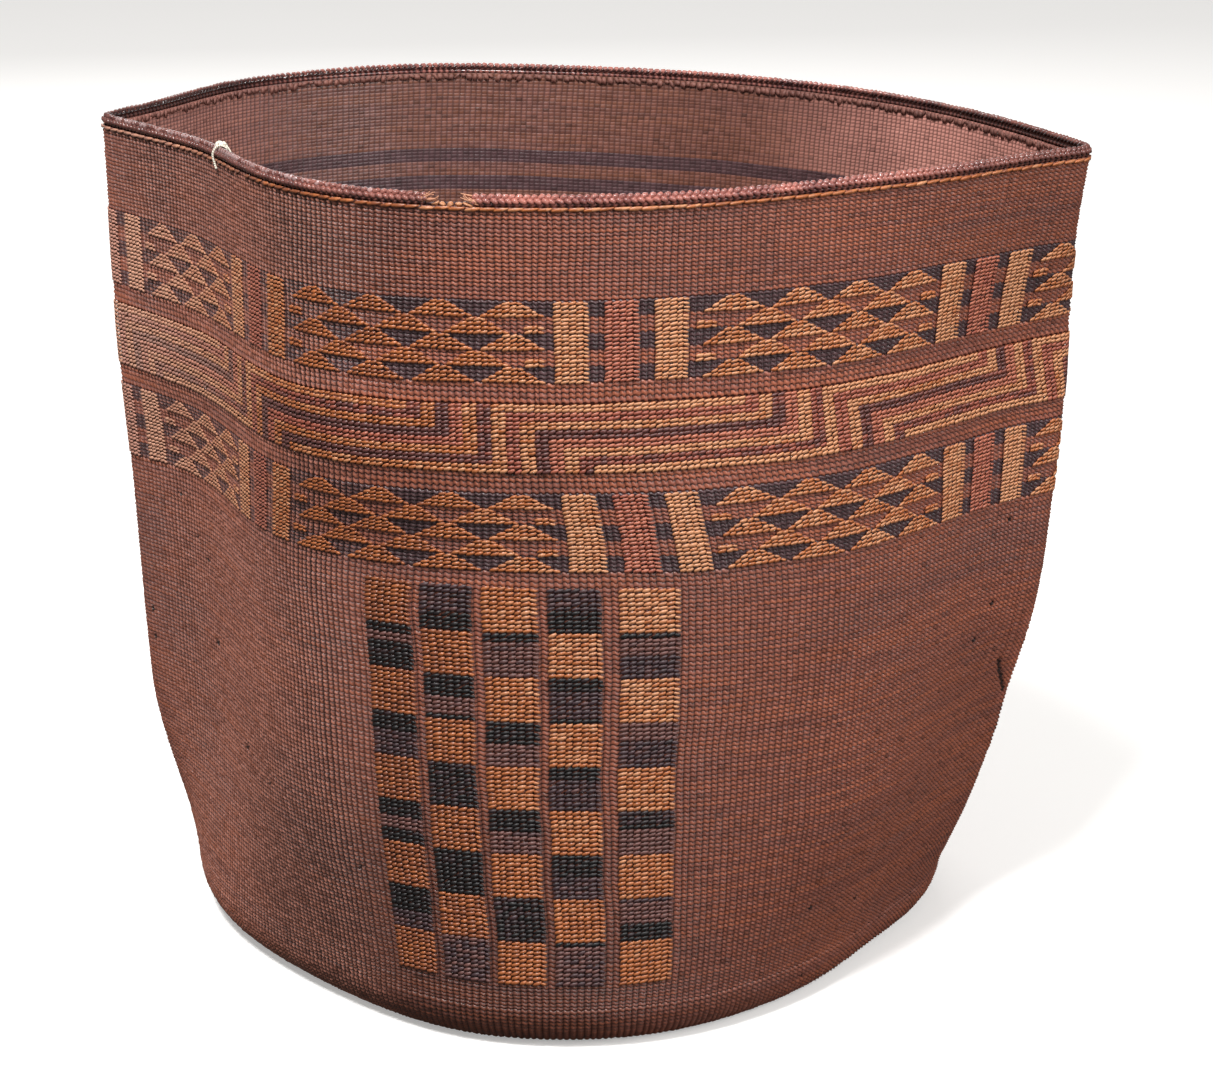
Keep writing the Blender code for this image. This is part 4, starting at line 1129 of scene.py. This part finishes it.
def band_figures(bottom):
    """Stitches of one band: light bars, red bars and triangles."""
    light, red, triangles = [], [], []
    for start, following in zip(BAR_GROUPS, BAR_GROUPS[1:] + (BAR_GROUPS[0] + STITCHES,)):
        for row in range(bottom, bottom + BAND_ROWS):
            light += run(start, start + 5, row, 0.12)
            red += run(start + 7, start + 12, row, 0.2)
            light += run(start + 14, start + BAR_GROUP_STITCHES, row, 0.02)
        first, last = start + BAR_GROUP_STITCHES + 1, following - 1
        for tier in range(5):
            for centre in range(first + (0 if tier % 2 else 5), last + 1, 10):
                at_first, at_last = tier % 2 and centre == first, tier % 2 and centre == last
                for step in range(2 if at_first or at_last else 4):
                    left, right = max(first, centre - 4 + step), min(last, centre + 5 - step)
                    if at_first:
                        right = min(right, first + 3)
                    if at_last:
                        left = max(left, last - 3)
                    if right > left:
                        triangles += run(left, right, bottom + tier * 4 + step, 0.3)
    return light, red, triangles


def build_bands():
    """Bars and triangles of both bands."""
    straw = grass("straw", srgb(201, 139, 99), srgb(172, 98, 54), srgb(136, 75, 46))
    red_dye = grass("red_grass", srgb(178, 104, 80), srgb(152, 80, 62), srgb(100, 60, 56), roughness=0.42)
    for name in ("lower_band", "upper_band"):
        light, red, triangles = band_figures(FIRST_ROW[name])
        bars, panels = ([f"{name}_{figure}_{number}" for number in range(1, 8)] for figure in ("bars", "triangles"))
        grass_piece(f"{name}_light_bars", light, straw, "straw", *bars)
        grass_piece(f"{name}_red_bars", red, red_dye, "red_grass", *bars)
        grass_piece(f"{name}_triangles", triangles, straw, "straw", *panels)
    return straw, red_dye


# First column of each unit of the meander
MEANDER_UNITS = (-104, -56, -9, 39, 83, 127, 171, 215, 259)
# The eight nested lines of a unit, from its top: their grass and how dark its dye is
MEANDER_LINES = (("light", 0.05), ("red", 0.35), ("light", 0.15), ("red", 0.95), ("red", 0.05), ("light", 0.1),
                 ("red", 0.7), ("light", 0.0))


def build_meander(straw, red_dye):
    """Nested stepped lines, two stitches thick. Each runs down, along to the right and up again, and
    the last joins the next unit's first."""
    top = FIRST_ROW["meander"] + 15
    stitches = {"light": [], "red": []}
    for start, end in zip(MEANDER_UNITS, MEANDER_UNITS[1:] + (MEANDER_UNITS[0] + STITCHES,)):
        for column in range(start, end):
            for down in range(16):
                line = min((column - start) // 2, down // 2)
                if column >= end - 14:
                    line = max((column - end + 14) // 2, down // 2)
                kind, dye = MEANDER_LINES[line]
                stitches[kind].append((column, top - down, 1.0, 1.0, GRAIN_LEAN, dye + left_darkening(column)))
    grass_piece("meander_light_lines", stitches["light"], straw, "straw", "meander_embroidery")
    grass_piece("meander_red_lines", stitches["red"], red_dye, "red_grass", "meander_embroidery")


CHECK_COLUMNS = ((-27, 7), (-19, 7), (-11, 7), (-3, 7), (6, 8))
# Rows of each dark square from its top: how many, and black (0), dark purple (0.5) or faded brown (1)
DARK_SQUARES = {
    (0, 1): ((2, 0.0), (2, 1.0), (6, 0.0)), (0, 3): ((4, 0.0), (6, 0.5)), (0, 5): ((4, 0.0), (3, 1.0), (3, 0.0)),
    (0, 7): ((6, 0.0), (4, 0.5)), (1, 0): ((6, 0.5), (4, 0.0)), (1, 2): ((5, 0.0), (4, 1.0), (1, 0.0)),
    (1, 4): ((10, 0.2),), (1, 6): ((10, 0.0),), (1, 8): ((10, 0.8),), (2, 1): ((2, 0.0), (8, 1.0)),
    (2, 3): ((5, 0.0), (5, 1.0)), (2, 5): ((5, 0.0), (5, 1.0)), (2, 7): ((10, 0.2),),
    (3, 0): ((5, 0.5), (5, 0.0)), (3, 2): ((3, 0.0), (6, 0.5), (1, 0.0)), (3, 4): ((3, 0.0), (7, 0.5)),
    (3, 6): ((5, 0.0), (5, 0.5)), (3, 8): ((1, 0.0), (9, 0.8)), (4, 1): ((1, 0.0), (4, 1.0), (5, 0.5)),
    (4, 3): ((4, 1.0), (6, 0.5)), (4, 5): ((4, 0.2), (6, 1.0)), (4, 7): ((1, 0.5), (5, 1.0), (4, 0.0)),
}


def build_checks(straw):
    """Five columns of nine squares, light and dark by turns. The dark dye has faded row by row."""
    black = grass("black_grass", srgb(20, 16, 17), srgb(66, 46, 50), srgb(108, 70, 64), roughness=0.5)
    light, dark = [], []
    top = FIRST_ROW["plain_top"] - 1
    for i, (first, width) in enumerate(CHECK_COLUMNS):
        for square in range(9):
            shades = [shade for rows, shade in DARK_SQUARES.get((i, square), ()) for _ in range(rows)]
            for step in range(10):
                row = top - square * 10 - step
                if (i + square) % 2 == 0:
                    light += run(first, first + width, row, 0.52 - 0.09 * i + 0.012 * i * square)
                else:
                    dark += run(first, first + width, row, shades[step] - left_darkening(first))
    columns = [f"check_column_{number}" for number in range(1, 6)]
    grass_piece("check_light_squares", light, straw, "straw", *columns, folds=1)
    grass_piece("check_dark_squares", dark, black, "black_grass", *columns, folds=1)


def bare_root(name, light, dark, roughness, plaited=False):
    """Split root with fibres along it. Plaited, it has painted shade in its hollows and on both sides, and painted
    glints on lobes on the left.
    """
    finish = Finish(name)
    along, around = finish.places()
    patches = finish.cloud(finish.position(), 90.0, 3.0)
    fibre = finish.cloud(finish.point(along * 2.0, around * 9.0), detail=3.0)
    tone = patches * 0.9 + fibre * 0.8 - 0.35
    colour = finish.mix(tone.between(0.2, 0.9), light, dark)
    if plaited:
        crest = finish.amount("crest")
        # Painted shade in the hollows between the lobes
        colour = finish.mix(crest.between(0.55, -0.35) * 0.88, colour, srgb(26, 15, 17))
        # Painted shade on both sides of the rim, lighter at the front; darker from the thread to the break
        aside = abs(finish.to_right()).between(0.07, 0.14)
        colour = finish.shaded(colour, (1.16 - aside * 0.64) * (1 - along.between(322.0, 345.0) * 0.34))
        # Painted glints on the worn lobes
        colour = finish.mix(crest.between(1.25, 1.95) * 0.42, colour, srgb(206, 178, 176))
    return finish.surface(colour, roughness, fibre, depth=0.00015, strength=0.6)


def cotton_thread():
    """White cotton, twisted."""
    finish = Finish("white_cotton")
    along, around = finish.places()
    twist = ((along * 14.0 + around * 2.0) * math.pi).sine()
    # Painted shade in the grooves of the twist, lighter on its ridges
    colour = finish.mix(twist.between(-0.6, 0.9), srgb(196, 186, 168), srgb(236, 230, 214))
    return finish.surface(colour, 0.78, twist, depth=0.0001, strength=0.5)


def build_rim(straw):
    """Everything on and by the rim."""
    rim_plait(bare_root("rim_root", srgb(168, 106, 94), srgb(92, 54, 54), 0.20, plaited=True))
    rim_ends(bare_root("cut_warp_root", srgb(132, 84, 72), srgb(92, 56, 50), 0.6))
    rim_grass_row(straw)
    rim_knobs(straw)
    rim_frays(bare_root("frayed_root", srgb(206, 150, 118), srgb(160, 104, 82), 0.7))
    rim_thread(cotton_thread())


# Stage

# Name, place, size and power of each lamp
LAMPS = (("key_lamp", (-0.45, -1.15, 2.0), 0.40, 60), ("fill_lamp", (1.2, -1.1, 1.1), 1.0, 20),
         ("back_lamp", (-0.3, 1.5, 1.0), 1.2, 8))
LAMP_AIM = Vector((0, 0, 0.13))
WORLD_LIGHT = 0.36
CAMERA_PLACE = (0.008, -0.9165, 0.4172)
CAMERA_PITCH = math.radians(17.70)
SENSOR_WIDTH = 36
LENS = 2899 / 1213 * SENSOR_WIDTH


def build_stage():
    """Pale floor, which the camera sees white apart from its shadow, soft lamps and the camera."""
    bpy.ops.mesh.primitive_plane_add(size=6, location=(0, 0, 0))
    floor = bpy.context.object
    floor.name = "floor"
    pale = Finish("pale_floor")
    seen = pale.node("ShaderNodeLightPath")
    for name, value in (("Base Color", pale.mix(seen, srgb(84, 80, 76), srgb(238, 236, 233))), ("Roughness", 0.9),
                        ("Emission Color", pale.mix(seen, (0.0, 0.0, 0.0), (0.34, 0.335, 0.33))),
                        ("Emission Strength", 1.0)):
        connect(pale.tree, value, pale.shader.inputs[name])
    floor.data.materials.append(pale.material)
    scene = bpy.context.scene
    scene.world = scene.world or bpy.data.worlds.new("studio")
    scene.world.use_nodes = True
    background = scene.world.node_tree.nodes["Background"]
    background.inputs["Color"].default_value = (1.0, 1.0, 1.0, 1.0)
    background.inputs["Strength"].default_value = WORLD_LIGHT
    for name, spot, size, power in LAMPS:
        data = bpy.data.lights.new(name, "AREA")
        data.size = size
        data.energy = power
        lamp = bpy.data.objects.new(name, data)
        lamp.location = spot
        lamp.rotation_euler = (LAMP_AIM - Vector(spot)).to_track_quat("-Z", "Y").to_euler()
        bpy.context.collection.objects.link(lamp)
    data = bpy.data.cameras.new("camera")
    data.sensor_width = SENSOR_WIDTH
    data.lens = LENS
    camera = bpy.data.objects.new("camera", data)
    camera.location = CAMERA_PLACE
    camera.rotation_euler = (math.radians(90) - CAMERA_PITCH, 0, 0)
    bpy.context.collection.objects.link(camera)
    scene.camera = camera
    scene.view_settings.view_transform = "Standard"


build_walls()
straw, red_dye = build_bands()
build_meander(straw, red_dye)
build_checks(straw)
build_rim(straw)
build_stage()
